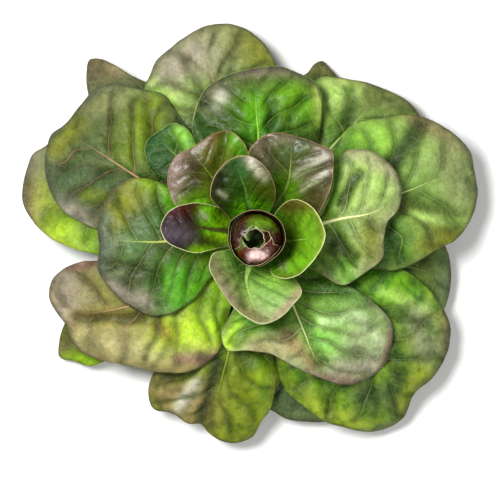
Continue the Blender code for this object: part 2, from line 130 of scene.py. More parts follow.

# Each leaf heads outwards at so many degrees from the right, up to its tip. Its margin runs from its
# left side, as seen from the stem, round its tip to its right, in millimetres of the plan. A fold has
# its start, end, depth and width. Strokes are soft patches on the blade: from, to, width, colour. Most
# are the leaf's own colours, but the palest ones on ridges and domes are painted highlights and sheen,
# and some dark ones along folds and in hollows are painted shade.
OUTER_LEAVES = [
    dict(name="outer_leaf_01", heading=69, tip=(39, 104), wave=1.5, arch=4,
         margin=[(-5, 50), (8, 78), (23, 92), (31, 98), (34, 102), (39, 104), (42, 101), (52, 88),
                 (62, 68), (56, 40), (30, 18)],
         foot=DEEP, blade=GREY_OLIVE, rim=TAUPE, vein=PALE, strokes=[]),
    dict(name="outer_leaf_02", heading=133, tip=(-99, 104), wave=1.5, arch=5,
         margin=[(-50, 22), (-92, 52), (-98, 76), (-101, 95), (-99, 105), (-93, 105), (-84, 101),
                 (-76, 96), (-52, 84), (-30, 60), (-12, 30)],
         foot=DEEP, blade=SLATE, rim=TAUPE, vein=PALE, strokes=[(-97, 101, -86, 96, 7, TAUPE)]),
    dict(name="outer_leaf_03", heading=214, tip=(-116, -73), wave=2, arch=4,
         margin=[(-14, -35), (-50, -66), (-84, -71), (-100, -77), (-109, -74), (-117, -72),
                 (-117, -62), (-108, -42), (-82, -18), (-40, -4)],
         foot=LEAF, blade=OLIVE, rim=OLIVE, vein=PALE,
         strokes=[(-112, -73, -98, -76, 6, LIME), (-116, -66, -110, -62, 5, TAUPE)]),
    dict(name="outer_leaf_04", heading=283, tip=(30, -110), wave=2, arch=4,
         margin=[(32, -25), (60, -58), (62, -92), (52, -106), (41, -110), (30, -110), (20, -109),
                 (8, -103), (-8, -88), (-18, -60), (-14, -35)],
         foot=DEEP, blade=SLATE, rim=GREY_OLIVE, vein=PALE, strokes=[]),
    dict(name="outer_leaf_05", heading=346, tip=(114, -25), wave=2, arch=4,
         margin=[(30, 20), (68, 32), (96, 20), (107, 2), (113, -10), (115, -22), (114, -33),
                 (111, -43), (98, -58), (65, -58), (30, -38)],
         foot=DEEP, blade=GREY_OLIVE, rim=PALE, vein=PALE, strokes=[(112, -12, 112, -32, 7, SLATE)]),
    dict(name="outer_leaf_06", heading=170, tip=(-139, 26), wave=2.5, arch=4,
         margin=[(-22, -14), (-60, -21), (-93, -11), (-112, -6), (-122, -1), (-131, 7), (-138, 18),
                 (-139, 28), (-137, 38), (-133, 48), (-124, 54), (-118, 62), (-100, 62), (-60, 45)],
         foot=LEAF, blade=(146, 150, 74), rim=TAUPE, vein=PALE,
         strokes=[(-116, 3, -95, -8, 11, (142, 168, 44)), (-135, 40, -126, 54, 9, LAVENDER_AND_PAINTED_SHEEN),
                  (-136, 14, -136, 30, 5, TAUPE)]),
    dict(name="outer_leaf_07", heading=52, tip=(76, 87), wave=3, arch=5,
         margin=[(5, 40), (20, 75), (33, 91), (39, 94), (46, 94), (57, 92), (64, 91), (73, 88),
                 (82, 84), (90, 79), (96, 71), (94, 55), (75, 35), (40, 15)],
         folds=[((52, 50), (56, 88), 2.5, 4)],
         foot=LEAF, blade=(154, 172, 106), rim=TAUPE, vein=PALE, mottle=0.5,
         strokes=[(40, 88, 54, 84, 8, PALE), (66, 82, 90, 72, 7, GREY_OLIVE), (48, 56, 54, 70, 6, DEEP),
                  (60, 68, 80, 66, 7, (128, 136, 92))]),
    dict(name="outer_leaf_08", heading=107, tip=(-36, 122), wave=3, arch=8,
         margin=[(-35, 40), (-60, 70), (-67, 87), (-64, 93), (-59, 104), (-51, 111), (-43, 117),
                 (-35, 122), (-25, 125), (-14, 125), (-6, 122), (2, 116), (7, 110), (11, 101),
                 (14, 80), (10, 45)],
         folds=[((-24, 70), (-42, 102), 2.2, 3.5), ((-19, 74), (-14, 104), 1.6, 3)],
         foot=LEAF, blade=(134, 138, 108), rim=GREY_OLIVE, vein=BLUSH,
         strokes=[(-50, 98, -38, 106, 9, LAVENDER_AND_PAINTED_SHEEN), (-2, 112, 8, 96, 10, (128, 132, 52)),
                  (-36, 84, -16, 78, 8, (108, 128, 62)), (-60, 84, -50, 78, 6, PALE)]),
    # On outer_leaf_09 the thin pale grey stroke is painted sheen, and the dark line along its main fold is
    # painted shade.
    dict(name="outer_leaf_09", heading=260, tip=(-31, -113), wave=3, arch=5,
         margin=[(12, -50), (14, -85), (10, -93), (8, -102), (3, -109), (-3, -119), (-11, -122),
                 (-21, -121), (-29, -116), (-33, -111), (-40, -111), (-49, -105), (-62, -101),
                 (-64, -96), (-62, -82), (-55, -70), (-35, -45)],
         folds=[((-20, -65), (-31, -110), 5, 6), ((-30, -78), (-42, -102), 2.5, 4),
                ((-34, -76), (-58, -86), 2.5, 4)],
         foot=LEAF, blade=(106, 118, 40), rim=OLIVE, vein=(132, 150, 62), mottle=0.6,
         strokes=[(-56, -84, -42, -98, 14, (136, 116, 92)), (-36, -86, -46, -100, 3, PAINTED_SHEEN),
                  (-23, -74, -33, -106, 3, (58, 56, 24)), (2, -76, 4, -100, 4, (120, 140, 50))]),
    # On outer_leaf_10 the dark stroke down its middle fold is painted shade.
    dict(name="outer_leaf_10", heading=315, tip=(92, -93), wave=4, arch=8,
         margin=[(30, -6), (60, -10), (93, -24), (103, -33), (110, -43), (114, -53), (113, -66),
                 (105, -82), (92, -94), (87, -107), (77, -114), (66, -116), (52, -113), (41, -110),
                 (29, -101), (16, -90), (10, -70), (5, -40)],
         folds=[((62, -44), (98, -50), 3.5, 4.5), ((76, -62), (84, -92), 3, 5),
                ((36, -74), (44, -106), 2.5, 5)],
         foot=DEEP, blade=(108, 134, 46), rim=OLIVE, vein=PALE, mottle=0.75,
         strokes=[(58, -20, 92, -32, 11, (104, 150, 38)), (62, -28, 98, -42, 3, (152, 182, 92)),
                  (94, -48, 100, -68, 9, (128, 128, 110)), (112, -46, 112, -66, 3, MAUVE),
                  (80, -62, 86, -84, 5, (62, 76, 32)), (62, -92, 80, -96, 8, (66, 78, 62)),
                  (96, -80, 88, -100, 5, (134, 140, 50)), (28, -96, 62, -112, 4, (128, 140, 58))]),
    # On outer_leaf_11 the thin dark band along its long fold is painted shade.
    dict(name="outer_leaf_11", heading=210, tip=(-119, -46), wave=3.5, arch=8,
         margin=[(-14, -40), (-24, -70), (-37, -79), (-58, -80), (-78, -76), (-95, -72), (-106, -66),
                 (-111, -57), (-113, -52), (-119, -44), (-122, -38), (-121, -26), (-115, -20),
                 (-103, -15), (-92, -14), (-75, -10), (-40, -6)],
         folds=[((-50, -48), (-106, -48), 3, 4), ((-46, -58), (-60, -76), 2, 3.5),
                ((-36, -66), (-26, -76), 2.5, 4)],
         foot=LIME, blade=(128, 124, 80), rim=TAUPE, vein=BLUSH,
         strokes=[(-112, -40, -112, -26, 8, LAVENDER_AND_PAINTED_SHEEN), (-100, -60, -60, -70, 6, (148, 144, 108)),
                  (-106, -47, -62, -46, 3, (100, 92, 50)), (-46, -56, -26, -54, 11, LIME),
                  (-110, -18, -78, -12, 3, MAUVE), (-46, -72, -24, -72, 4, MAUVE),
                  (-58, -52, -52, -58, 4, (112, 96, 44))]),
    dict(name="outer_leaf_12", heading=149, tip=(-115, 64), wave=3.5, arch=9,
         margin=[(-20, -3), (-45, -6), (-80, -2), (-101, 7), (-109, 11), (-119, 21), (-124, 34),
                 (-124, 51), (-120, 61), (-114, 65), (-105, 76), (-96, 86), (-82, 90), (-72, 87),
                 (-53, 82), (-48, 74), (-38, 60), (-25, 35)],
         folds=[((-62, 36), (-64, 78), 2.2, 4), ((-70, 34), (-112, 40), 2.2, 5),
                ((-60, 26), (-92, 6), 2.2, 5)],
         foot=LEAF, blade=(74, 88, 54), rim=SLATE, vein=BLUSH,
         strokes=[(-62, 58, -64, 78, 11, (112, 128, 42)), (-98, 78, -80, 82, 8, (116, 120, 84)),
                  (-112, 18, -84, 2, 5, LAVENDER_AND_PAINTED_SHEEN), (-112, 30, -84, 26, 9, (72, 90, 64)),
                  (-100, 24, -74, 20, 3.5, (100, 112, 40)), (-118, 50, -106, 66, 5, OLIVE),
                  (-72, 50, -58, 44, 9, (104, 124, 38))]),
    # On outer_leaf_13 the dark slate stroke beside its upper fold is painted shade, and the thin pale
    # stroke along its lower fold is a painted highlight.
    dict(name="outer_leaf_13", heading=18, tip=(128, 38), wave=4, arch=8,
         margin=[(30, 40), (47, 53), (50, 60), (57, 66), (66, 68), (77, 70), (86, 71), (97, 70),
                 (106, 66), (118, 58), (126, 48), (128, 37), (130, 26), (126, 10), (116, -3),
                 (106, -8), (96, -14), (83, -20), (60, -18), (30, -9)],
         folds=[((80, 24), (121, 8), 5, 7), ((72, 30), (96, 66), 4, 5), ((70, 18), (84, -14), 2, 4)],
         foot=LEAF, blade=(118, 140, 80), rim=GREY_OLIVE, vein=PALE,
         strokes=[(54, 58, 70, 56, 10, (136, 172, 76)), (80, 42, 94, 64, 5, (62, 74, 58)),
                  (94, 70, 118, 54, 5, TAUPE), (112, 44, 120, 28, 10, (136, 142, 104)),
                  (84, 18, 114, 2, 6, (88, 92, 36)), (90, 12, 122, 8, 3, PALE),
                  (66, 10, 82, -8, 12, (70, 106, 26)), (100, -6, 112, -4, 7, (108, 108, 46))]),
]

# The rosette's own rule, from its lowest leaf to its highest, how thick a leaf is, and how finely each
# one is laid over those below it.
ROSETTE_LEAVES = 24
STALK_RADIUS = (13.2, 9.9)
STALK_HEIGHT = (7.0, 36.0)
STALK_HALF_ANGLE = (38, 52)
LOWEST_TIP, TIP_RISE, TIP_RISE_POWER = 5.0, 92.0, 1.2
TIP_DROOP, DROOP_REACH = 0.55, 140.0
BULGE = (0.15, 0.22)
BLADE_THICKNESS, RIB_THICKNESS, GAP, FINE_GAP = 0.7, 1.7, 0.9, 0.25
LARGE_STEPS, SMALL_STEPS, SMALL_LEAF_REACH = (12, 9), (8, 6), 60
LARGE_FINE_STEPS, SMALL_FINE_STEPS = (92, 76), (72, 60)
PLAN_HALF, PLAN_CELL, FLOOR_GAP = 150, 0.5, 0.5
COARSE_CUTS, FINE_CUTS, LAID_CUTS = 20, 2, 3
LIFT_SPREADS, LIFT_SOFTENED, MORE_SOFTENED = 3, 12, 6
MARGIN_THINS, INSET, TOP_GAP = (-3.5, 4), 0.998, 0.1

# The finer form of a blade: how high and how large its swells, crinkles, puckers and bites are, how
# far it puffs up between its veins, and how strongly painted shade darkens its dips and painted light
# brightens its crests.
LARGE_LEAF_REACH = 90
SWELL, CRINKLE, PUCKER = (2.4, 24), (1.1, 10), (0.28, 4.5)
PUFF, PUFF_POWER, PUFF_LOW, WIDEST_ROOM = 0.2, 0.6, 0.75, 15
RUFFLE, RUFFLE_SIZE, RUFFLE_REACH = 0.4, 7, 4.5
BITES, BITE_REACH = ((0.35, 7), (0.08, 2.2)), 3
DIP_SPREAD, DIP_DEPTH, DIP_SHADE = 14, 0.5, 0.36
SIDE_VEINS, SMALL_SIDE_VEINS, VEIN_LEAN = 6, 4.6, 3.3
FAR_FROM_MARGIN, USUAL_MOTTLE, STROKES_LIE = 99, 0.08, (0.8, 1.25)

# The ribs below the blade: how deep in it they run, in shares of its thickness, how far along the
# leaf they reach, and how thick they are at each end.
RIB_DEPTH = 1.4
MIDRIB_REACH, MIDRIB_GIRTH = (0.02, 0.86), (0.95, 0.28)
SIDE_VEIN_REACH, SIDE_VEIN_GIRTH = (0.08, 0.93), (0.42, 0.14)
SIDE_VEIN_CLEARS_MARGIN, MOST_SIDE_VEINS = 3, 7
RIB_INPUTS = {"Half width": MM, "Sides": 6}


def even_curve(points, count):
    """Points spaced evenly along a smooth curve through the given ones."""
    points = np.array(points, float)
    step = np.linalg.norm(np.diff(points, axis=0), axis=1)
    length = np.concatenate([[0], np.cumsum(step)])
    slope = np.gradient(points, length, axis=0)
    finely = 20
    where = np.linspace(0, length[-1], finely * len(points))
    k = np.clip(np.searchsorted(length, where, side="right") - 1, 0, len(step) - 1)
    span = step[k][:, None]
    u = (where - length[k])[:, None] / span
    curve = (
        points[k] * (1 + 2 * u) * (1 - u) ** 2
        + points[k + 1] * (3 - 2 * u) * u**2
        + slope[k] * span * u * (1 - u) ** 2
        - slope[k + 1] * span * u**2 * (1 - u)
    )
    run = np.concatenate([[0], np.cumsum(np.linalg.norm(np.diff(curve, axis=0), axis=1))])
    even = np.linspace(0, run[-1], count)
    return np.column_stack([np.interp(even, run, curve[:, axis]) for axis in (0, 1)])


def between(ends, share):
    """The value so far from the first end to the second."""
    return ends[0] + (ends[1] - ends[0]) * share


def smooth_step(low, high, value):
    """0 below low and 1 above high, rising smoothly between them."""
    share = np.clip((value - low) / (high - low), 0, 1)
    return share * share * (3 - 2 * share)


def on_circle(radius, degrees):
    """The point of the plan at this distance and direction from the stem's axis."""
    angle = np.radians(degrees)
    return np.stack([radius * np.cos(angle), radius * np.sin(angle)], axis=-1)


def lattice(columns, rows):
    """The share of the way along the leaf and across it, at each point of its grid."""
    return np.meshgrid(np.linspace(0, 1, rows + 1), np.linspace(0, 1, columns + 1), indexing="ij")


def plan_of(leaf, level, columns, rows):
    """The blade's plan: its side edges, its stalk and its front edge, and what lies between them."""
    margin_points, front_share, side_stride, front_stride = 400, 0.24, 6, 4
    stalk = between(STALK_RADIUS, level)
    half_angle = between(STALK_HALF_ANGLE, level)
    first = on_circle(stalk, leaf["heading"] + half_angle)
    last = on_circle(stalk, leaf["heading"] - half_angle)
    margin = even_curve([first, *leaf["margin"], last], margin_points)
    tip = int(np.argmin(np.linalg.norm(margin - np.array(leaf["tip"]), axis=1)))
    start = tip - int(front_share * margin_points)
    end = tip + int(front_share * margin_points)
    left = even_curve(margin[: start + 1 : side_stride], rows + 1)
    right = even_curve(margin[end:][::-side_stride], rows + 1)
    front = even_curve(margin[start : end + 1 : front_stride], columns + 1)
    left[-1], right[-1] = front[0], front[-1]
    s = np.linspace(0, 1, columns + 1)[None, :, None]
    t = np.linspace(0, 1, rows + 1)[:, None, None]
    foot = on_circle(stalk, leaf["heading"] + half_angle * (1 - 2 * s[..., 0]))[0][None]
    corners = (1 - s) * (1 - t) * foot[:, :1] + s * (1 - t) * foot[:, -1:]
    corners = corners + (1 - s) * t * front[0] + s * t * front[-1]
    return (1 - s) * left[:, None] + s * right[:, None] + (1 - t) * foot + t * front[None] - corners


def beside_line(plan, start, end):
    """How far along the line from start to end each point lies, and how far from it."""
    start, line = np.array(start), np.subtract(end, start)
    along = np.clip((plan - start) @ line / max(line @ line, 1e-6), 0, 1)
    return along, np.linalg.norm(plan - start - along[..., None] * line, axis=-1)


def height_of(leaf, level, plan, draw):
    """The blade's height: a bowl round the stem, with the leaf's own arch, channel, waves and folds."""
    t, s = lattice(plan.shape[1] - 1, plan.shape[0] - 1)
    across = 2 * s - 1
    stalk = between(STALK_RADIUS, level)
    reach = math.hypot(*leaf["tip"])
    out = (np.hypot(plan[..., 0], plan[..., 1]) - stalk) / (reach - stalk)
    foot = between(STALK_HEIGHT, level)
    tip = LOWEST_TIP + TIP_RISE * level**TIP_RISE_POWER * (1 - TIP_DROOP * (reach / DROOP_REACH) ** 2)
    bulge = between(BULGE, level) * (reach - stalk)
    height = foot + (tip - foot) * out + 4 * bulge * out * (1 - out)
    blade = smooth_step(0.1, 0.6, t)
    height = height - leaf["arch"] * across**2 * blade
    channel_depth, channel_width = 1.6, 0.11
    height = height - channel_depth * np.exp(-((across / channel_width) ** 2)) * (1 - t)
    edge = np.maximum(smooth_step(0.55, 1, t), smooth_step(0.5, 1, np.abs(across)) * blade)
    round_margin = np.arctan2(across, t + 0.25)
    for turns, share in ((5, 0.6), (9, 0.4)):
        phase = draw.uniform(0, 2 * math.pi)
        height = height + leaf["wave"] * share * edge * np.sin(turns * round_margin + phase)
    for start, end, depth, width in leaf.get("folds", []):
        along, far = beside_line(plan, start, end)
        height = height - depth * smooth_step(0, 0.4, along) * np.exp(-((far / width) ** 2))
    return height


def finer(grid, rows, columns):
    """The grid's values read in straight lines at more rows and columns of points."""
    old_rows, old_columns = grid.shape
    down = np.linspace(0, old_rows - 1, rows + 1)
    along = np.linspace(0, old_columns - 1, columns + 1)
    tall = np.stack([np.interp(down, np.arange(old_rows), column) for column in grid.T], axis=1)
    return np.stack([np.interp(along, np.arange(old_columns), row) for row in tall])


def beside(grid):
    """The mean of each point's four neighbours."""
    spread = np.pad(grid, 1, mode="edge")
    return (spread[:-2, 1:-1] + spread[2:, 1:-1] + spread[1:-1, :-2] + spread[1:-1, 2:]) / 4


def softened(grid, times):
    """The grid with each point drawn halfway to its neighbours, so many times."""
    for _ in range(times):
        grid = (grid + beside(grid)) / 2
    return grid


def normals_of(surface):
    """The direction square to the surface, at each point of its grid."""
    normal = np.cross(np.gradient(surface, axis=1), np.gradient(surface, axis=0))
    return normal / np.maximum(np.linalg.norm(normal, axis=-1, keepdims=True), 1e-9)


def cell_of(place):
    """The row or column of the laid plan that a place in millimetres falls in."""
    return np.round((place + PLAN_HALF) / PLAN_CELL).astype(int)


def lift_needed(plan, height, thickness, laid, gap, steps):
    """How far each point of the leaf must rise for its underside to clear what is laid below it."""
    rows, columns = height.shape[0] - 1, height.shape[1] - 1
    x, y, z = (finer(g, rows * steps, columns * steps) for g in (plan[..., 0], plan[..., 1], height))
    least_upright = 0.25
    upright = np.maximum(np.abs(normals_of(np.stack([x, y, z], axis=-1))[..., 2]), least_upright)
    row, column = cell_of(y), cell_of(x)
    below = np.max([laid[row + a, column + b] for a in (-1, 0, 1) for b in (-1, 0, 1)], axis=0)
    need = np.maximum(0, below + finer(thickness, rows * steps, columns * steps) / upright + gap - z)
    lift = np.zeros_like(height)
    wide = np.pad(need, steps, mode="edge")
    for a in range(2 * steps + 1):
        for b in range(2 * steps + 1):
            lift = np.maximum(lift, wide[a :: steps, b :: steps][: rows + 1, : columns + 1])
    return lift


def lay_down(plan, height, laid, steps):
    """The leaf's height entered on the plan of what already lies there."""
    rows, columns = (height.shape[0] - 1) * steps, (height.shape[1] - 1) * steps
    column, row = (cell_of(finer(plan[..., axis], rows, columns)) for axis in (0, 1))
    np.maximum.at(laid, (row, column), finer(height, rows, columns))


def blade_thickness(columns, rows):
    """The midrib's thickness at the stalk, thinning along the leaf and quickly across it."""
    t, s = lattice(columns, rows)
    rib_width, thinning = 0.22, 1.5
    rib = np.exp(-(((2 * s - 1) / rib_width) ** 2)) * (1 - t) ** thinning
    return BLADE_THICKNESS + (RIB_THICKNESS - BLADE_THICKNESS) * rib


def field_noise(points, size, seed):
    """Smooth noise between about -1 and 1 whose features are as large as `size`."""
    flat, apart = points.reshape(-1, points.shape[-1]) / size, 7.3
    values = [noise.noise((x, y, seed * apart)) for x, y in flat[:, :2]]
    return np.array(values).reshape(points.shape[:-1])


def veins_of(leaf, plan, height, seed):
    """Distance from the midrib, side veins passed, the room between them, distance to the margin."""
    rows, columns = height.shape[0] - 1, height.shape[1] - 1
    t, s = lattice(columns, rows)
    surface = np.dstack([plan, height])
    per_s = np.linalg.norm(np.gradient(surface, axis=1), axis=-1) * columns
    per_t = np.linalg.norm(np.gradient(surface, axis=0), axis=-1) * rows
    across = 2 * s - 1
    from_rib = across / 2 * per_s.mean(axis=1, keepdims=True)
    rib_wanders, rib_length, rib_bend = 0.9, 60, 14
    from_rib = from_rib + rib_wanders * field_noise(np.dstack([t * rib_length, t * 0]), rib_bend, seed + 30)
    count = SMALL_SIDE_VEINS if math.hypot(*leaf["tip"]) < SMALL_LEAF_REACH else SIDE_VEINS
    staggered, vein_wanders, vein_bend = 0.45, 0.42, 20
    passed = count * t**0.9 - VEIN_LEAN * np.abs(across) ** 1.15
    passed = passed + staggered * smooth_step(-0.03, 0.03, across)
    passed = passed + vein_wanders * field_noise(plan, vein_bend, seed + 40)
    room = 1 / np.sqrt((count / per_t) ** 2 + (2 * VEIN_LEAN / per_s) ** 2)
    rim = np.concatenate([surface[-1], surface[:, 0], surface[:, -1]])
    flat = surface.reshape(-1, 3)
    from_margin = np.full(len(flat), float(FAR_FROM_MARGIN))
    for point in rim:
        from_margin = np.minimum(from_margin, np.linalg.norm(flat - point, axis=1))
    return from_rib, passed, room, from_margin.reshape(t.shape)


def blade_relief(leaf, plan, veins, seed):
    """The blade swelling, puffed up between its veins and finely puckered."""
    from_rib, passed, room, from_margin = veins
    t, _ = lattice(plan.shape[1] - 1, plan.shape[0] - 1)
    size = min(1, math.hypot(*leaf["tip"]) / LARGE_LEAF_REACH)
    clear_of_rib = smooth_step(0.5, 7, np.abs(from_rib))
    puff = np.abs(np.sin(math.pi * passed)) ** PUFF_POWER - PUFF_LOW
    puff = puff * np.minimum(room, WIDEST_ROOM) * PUFF
    relief = puff * clear_of_rib * smooth_step(0.12, 0.35, t) * smooth_step(0, 9, from_margin)
    relief = relief + SWELL[0] * size * field_noise(plan, SWELL[1], seed + 5) * smooth_step(0.1, 0.4, t)
    relief = relief + CRINKLE[0] * size * field_noise(plan, CRINKLE[1], seed) * clear_of_rib
    relief = relief + PUCKER[0] * field_noise(plan, PUCKER[1], seed + 11) * clear_of_rib
    rib_height, rib_width = leaf.get("rib", (-0.9, 1.5))
    relief = relief + rib_height * np.exp(-((from_rib / rib_width) ** 2)) * (1 - smooth_step(0.4, 0.9, t))
    ruffle = field_noise(plan, RUFFLE_SIZE, seed + 23) * np.exp(-from_margin / RUFFLE_REACH)
    return relief + RUFFLE * leaf["wave"] * ruffle


def ragged(plan, from_margin, seed):
    """The plan with its margin nibbled in unevenly, by up to a millimetre."""
    inward = plan.mean(axis=(0, 1)) - plan
    inward = inward / np.maximum(np.linalg.norm(inward, axis=-1, keepdims=True), 1e-6)
    bite = 0
    for draw, (depth, size) in enumerate(BITES, seed + 70):
        bite = bite + depth * (1 + field_noise(plan, size, draw))
    return plan + inward * (bite * np.exp(-from_margin / BITE_REACH))[..., None]


def stroked(colour, plan, strokes, strength, spread, cloud):
    """The colours with the strokes laid over them, each fading out unevenly from its line."""
    for *line, width, stroke in strokes:
        far = beside_line(plan, line[:2], line[2:])[1][..., None]
        weight = strength * np.exp(-((far / (spread * width)) ** 2) * (1 + cloud))
        colour = colour + (tone(stroke) - colour) * np.clip(weight, 0, 1)
    return colour


def blade_tones(leaf, plan, veins, seed):
    """The blade's soft colours: bright at the foot, its own pale base with painted light shining through,
    duller outwards, with the strokes laid over.
    """
    t, _ = lattice(plan.shape[1] - 1, plan.shape[0] - 1)
    cloud_size, wisp_size, wisp_share, uneven, rim_share, rim_width = 26, 9, 0.3, 0.35, 0.7, 9
    cloud = field_noise(plan, cloud_size, seed + 60)[..., None]
    cloud = cloud + wisp_share * field_noise(plan, wisp_size, seed + 61)[..., None]
    outward = smooth_step(0.12, 0.55, t[..., None] + 0.12 * cloud)
    foot, blade, rim = (tone(leaf[part]) for part in ("foot", "blade", "rim"))
    colour = foot + (blade - foot) * outward
    to_rim = rim_share * np.exp(-veins[3][..., None] / rim_width) * smooth_step(0.3, 0.7, t[..., None])
    colour = colour + (rim - colour) * to_rim
    return stroked(colour, plan, leaf["strokes"], *STROKES_LIE, uneven * cloud)


def maths(operation):
    """An operator between two sockets, or a socket and a number, that adds a Math node."""
    return lambda left, right: left.math(operation, left, right)


class Socket:
    """A socket of a shader tree: arithmetic on it adds Math nodes, and node() adds any other node."""

    __add__ = __radd__ = maths("ADD")
    __mul__ = __rmul__ = maths("MULTIPLY")
    __sub__, __truediv__, __pow__ = maths("SUBTRACT"), maths("DIVIDE"), maths("POWER")
    larger = maths("MAXIMUM")

    def __init__(self, tree, socket=None):
        self.tree, self.socket = tree, socket

    def node(self, kind, settings, sockets, output=0):
        made = self.tree.nodes.new(kind)
        for name, value in settings.items():
            setattr(made, name, value)
        for name, value in sockets.items():
            if isinstance(value, Socket):
                self.tree.links.new(value.socket, made.inputs[name])
            else:
                made.inputs[name].default_value = value
        return Socket(self.tree, made.outputs[output])

    def math(self, operation, *values):
        return self.node("ShaderNodeMath", {"operation": operation}, dict(enumerate(values)))

    def __rsub__(self, other):
        return self.math("SUBTRACT", other, self)

    def __abs__(self):
        return self.math("ABSOLUTE", self)

    def to(self, shader, name):
        self.tree.links.new(self.socket, shader.inputs[name])

    def bumped(self, strength, distance):
        """The surface's normal where this value stands for its height."""
        made = {"Strength": strength, "Distance": distance, "Height": self}
        return self.node("ShaderNodeBump", {}, made, "Normal")

    def ramp(self, low, high, bottom=0, top=1):
        """The value's smooth rise from bottom to top as it goes from low to high."""
        return self.node(
            "ShaderNodeMapRange",
            {"interpolation_type": "SMOOTHSTEP"},
            {"Value": self, "From Min": low, "From Max": high, "To Min": bottom, "To Max": top},
        )

    def mixed(self, other, factor, blend_type="MIX"):
        """This colour with the other one laid over it."""
        settings = {"data_type": "RGBA", "blend_type": blend_type}
        return self.node("ShaderNodeMix", settings, {0: factor, 6: self, 7: other}, 2)

    def noise(self, scale, detail=3, output=0):
        made = {"Vector": self, "Scale": scale, "Detail": detail, "Roughness": 0.6}
        return self.node("ShaderNodeTexNoise", {}, made, output)

    def cells(self, scale):
        """The distance to the nearest edge of a net of irregular cells."""
        settings = {"feature": "DISTANCE_TO_EDGE"}
        return self.node("ShaderNodeTexVoronoi", settings, {"Vector": self, "Scale": scale})

    def scaled(self, factor):
        """This vector made longer or shorter."""
        return self.node("ShaderNodeVectorMath", {"operation": "SCALE"}, {0: self, "Scale": factor})

    def attribute(self, name, output="Vector"):
        return self.node("ShaderNodeAttribute", {"attribute_name": name}, {}, output)

    def parts(self):
        made = self.node("ShaderNodeSeparateXYZ", {}, {0: self}).socket.node
        return [Socket(self.tree, output) for output in made.outputs]


def new_finish(name):
    """A new material, its Principled shader, and where each point of the piece lies."""
    material = bpy.data.materials.new(name)
    material.use_nodes = True
    place = Socket(material.node_tree).node("ShaderNodeTexCoord", {}, {}, "Object")
    return material, material.node_tree.nodes["Principled BSDF"], place


def leaf_finish(name, roughness, coat, underside=False):
    """Fresh lettuce leaf: waxy, mottled, with pale veins, fine cells between them, a thin rim, and painted
    shade in its fine wrinkles.
    """
    material, skin, place = new_finish(name)
    from_rib, passed, room = place.attribute("veins").parts()
    from_margin, along, mottle = place.attribute("edge").parts()
    colour = place.attribute("tone", "Color")
    vein_colour = place.attribute("vein_tone", "Color")
    rim_colour = place.attribute("rim_tone", "Color")

    clouds = place.noise(70, 5)
    grain = place.noise(520)
    wrinkles = place.noise(240, 4)
    blotches = place.noise(130, 6)
    colour = colour.mixed((0.3, 0.5, 0.16, 1), blotches.ramp(0.5, 0.62) * mottle, "MULTIPLY")
    colour = colour.mixed((0.34, 0.4, 0.06, 1), blotches.ramp(0.46, 0.36) * mottle * 0.3)
    # Painted shade: the colour is darker in the hollows of the fine wrinkles and grain that the bump below
    # raises, with random tone from the clouds on top.
    light = clouds.ramp(0.3, 0.7, 0.88, 1.1) * grain.ramp(0.3, 0.7, 0.88, 1.12)
    light = light * wrinkles.ramp(0.35, 0.6, 0.84, 1.07)
    light = place.node("ShaderNodeCombineColor", {}, {0: light, 1: light, 2: light})
    colour = colour.mixed(light, 1, "MULTIPLY")

    toward_tip = 1 - along
    far = abs(from_rib)
    midrib = (far / (0.3 + 3.2 * toward_tip**3)).ramp(1.4, 0.6) * along.ramp(0.95, 0.6)
    side_run = passed.math("PINGPONG", passed, 0.5) * room
    side_half = 0.14 + 0.36 * toward_tip * far.ramp(25, 0)
    side_vein = (side_run / side_half).ramp(2, 0.5) * from_margin.ramp(3, 14) * along.ramp(0.06, 0.2)
    drift = place.noise(160, 2, "Color").scaled(0.004)
    bent = place.node("ShaderNodeVectorMath", {"operation": "ADD"}, {0: place, 1: drift})
    cells, small = bent.cells(150), bent.cells(420)
    lines = (midrib * 0.85).larger(side_vein * 0.24)
    lines = lines.larger(cells.ramp(0.07, 0.01) * 0.07).larger(small.ramp(0.1, 0.02) * 0.04)
    colour = colour.mixed(vein_colour, lines)
    colour = colour.mixed(rim_colour, from_margin.ramp(0.55, 0.05) * 0.6)
    if underside:
        colour = colour.mixed((0.33, 0.42, 0.2, 1), 0.55)
    colour.to(skin, "Base Color")

    wax = clouds.ramp(0.35, 0.7, roughness - 0.07, roughness + 0.1) + lines * 0.08
    wax.to(skin, "Roughness")
    skin.inputs["Specular IOR Level"].default_value = 0.2
    skin.inputs["Coat Weight"].default_value = coat
    skin.inputs["Coat Roughness"].default_value = 0.25
    puffed = cells.ramp(0, 0.35) * 0.3 + small.ramp(0, 0.3) * 0.1 + grain * 0.1 + wrinkles * 0.4
    grooves = side_vein * 0.22 + midrib * 0.1
    relief = puffed + grooves if underside else puffed - grooves
    relief.bumped(0.9, MM).to(skin, "Normal")
    return material


def add_field(mesh, key, values):
    """Values at the mesh's points for a finish to read: a colour if the key says tone, else a vector."""
    kind, field = ("FLOAT_COLOR", "color") if key.endswith("tone") else ("FLOAT_VECTOR", "vector")
    values = values.reshape(-1, values.shape[-1])
    values = np.broadcast_to(values, (len(mesh.vertices), values.shape[-1]))
    if field == "color":
        values = np.column_stack([values, np.ones(len(values))])
    mesh.attributes.new(key, kind, "POINT").data.foreach_set(field, values.ravel())


def made_plain(piece):
    """Puts the mesh that the piece's modifier makes in place of its own mesh and the modifier."""
    graph = bpy.context.evaluated_depsgraph_get()
    plain = bpy.data.meshes.new_from_object(piece.evaluated_get(graph))
    piece.modifiers.clear()
    piece.data = plain
    plain.name = piece.name


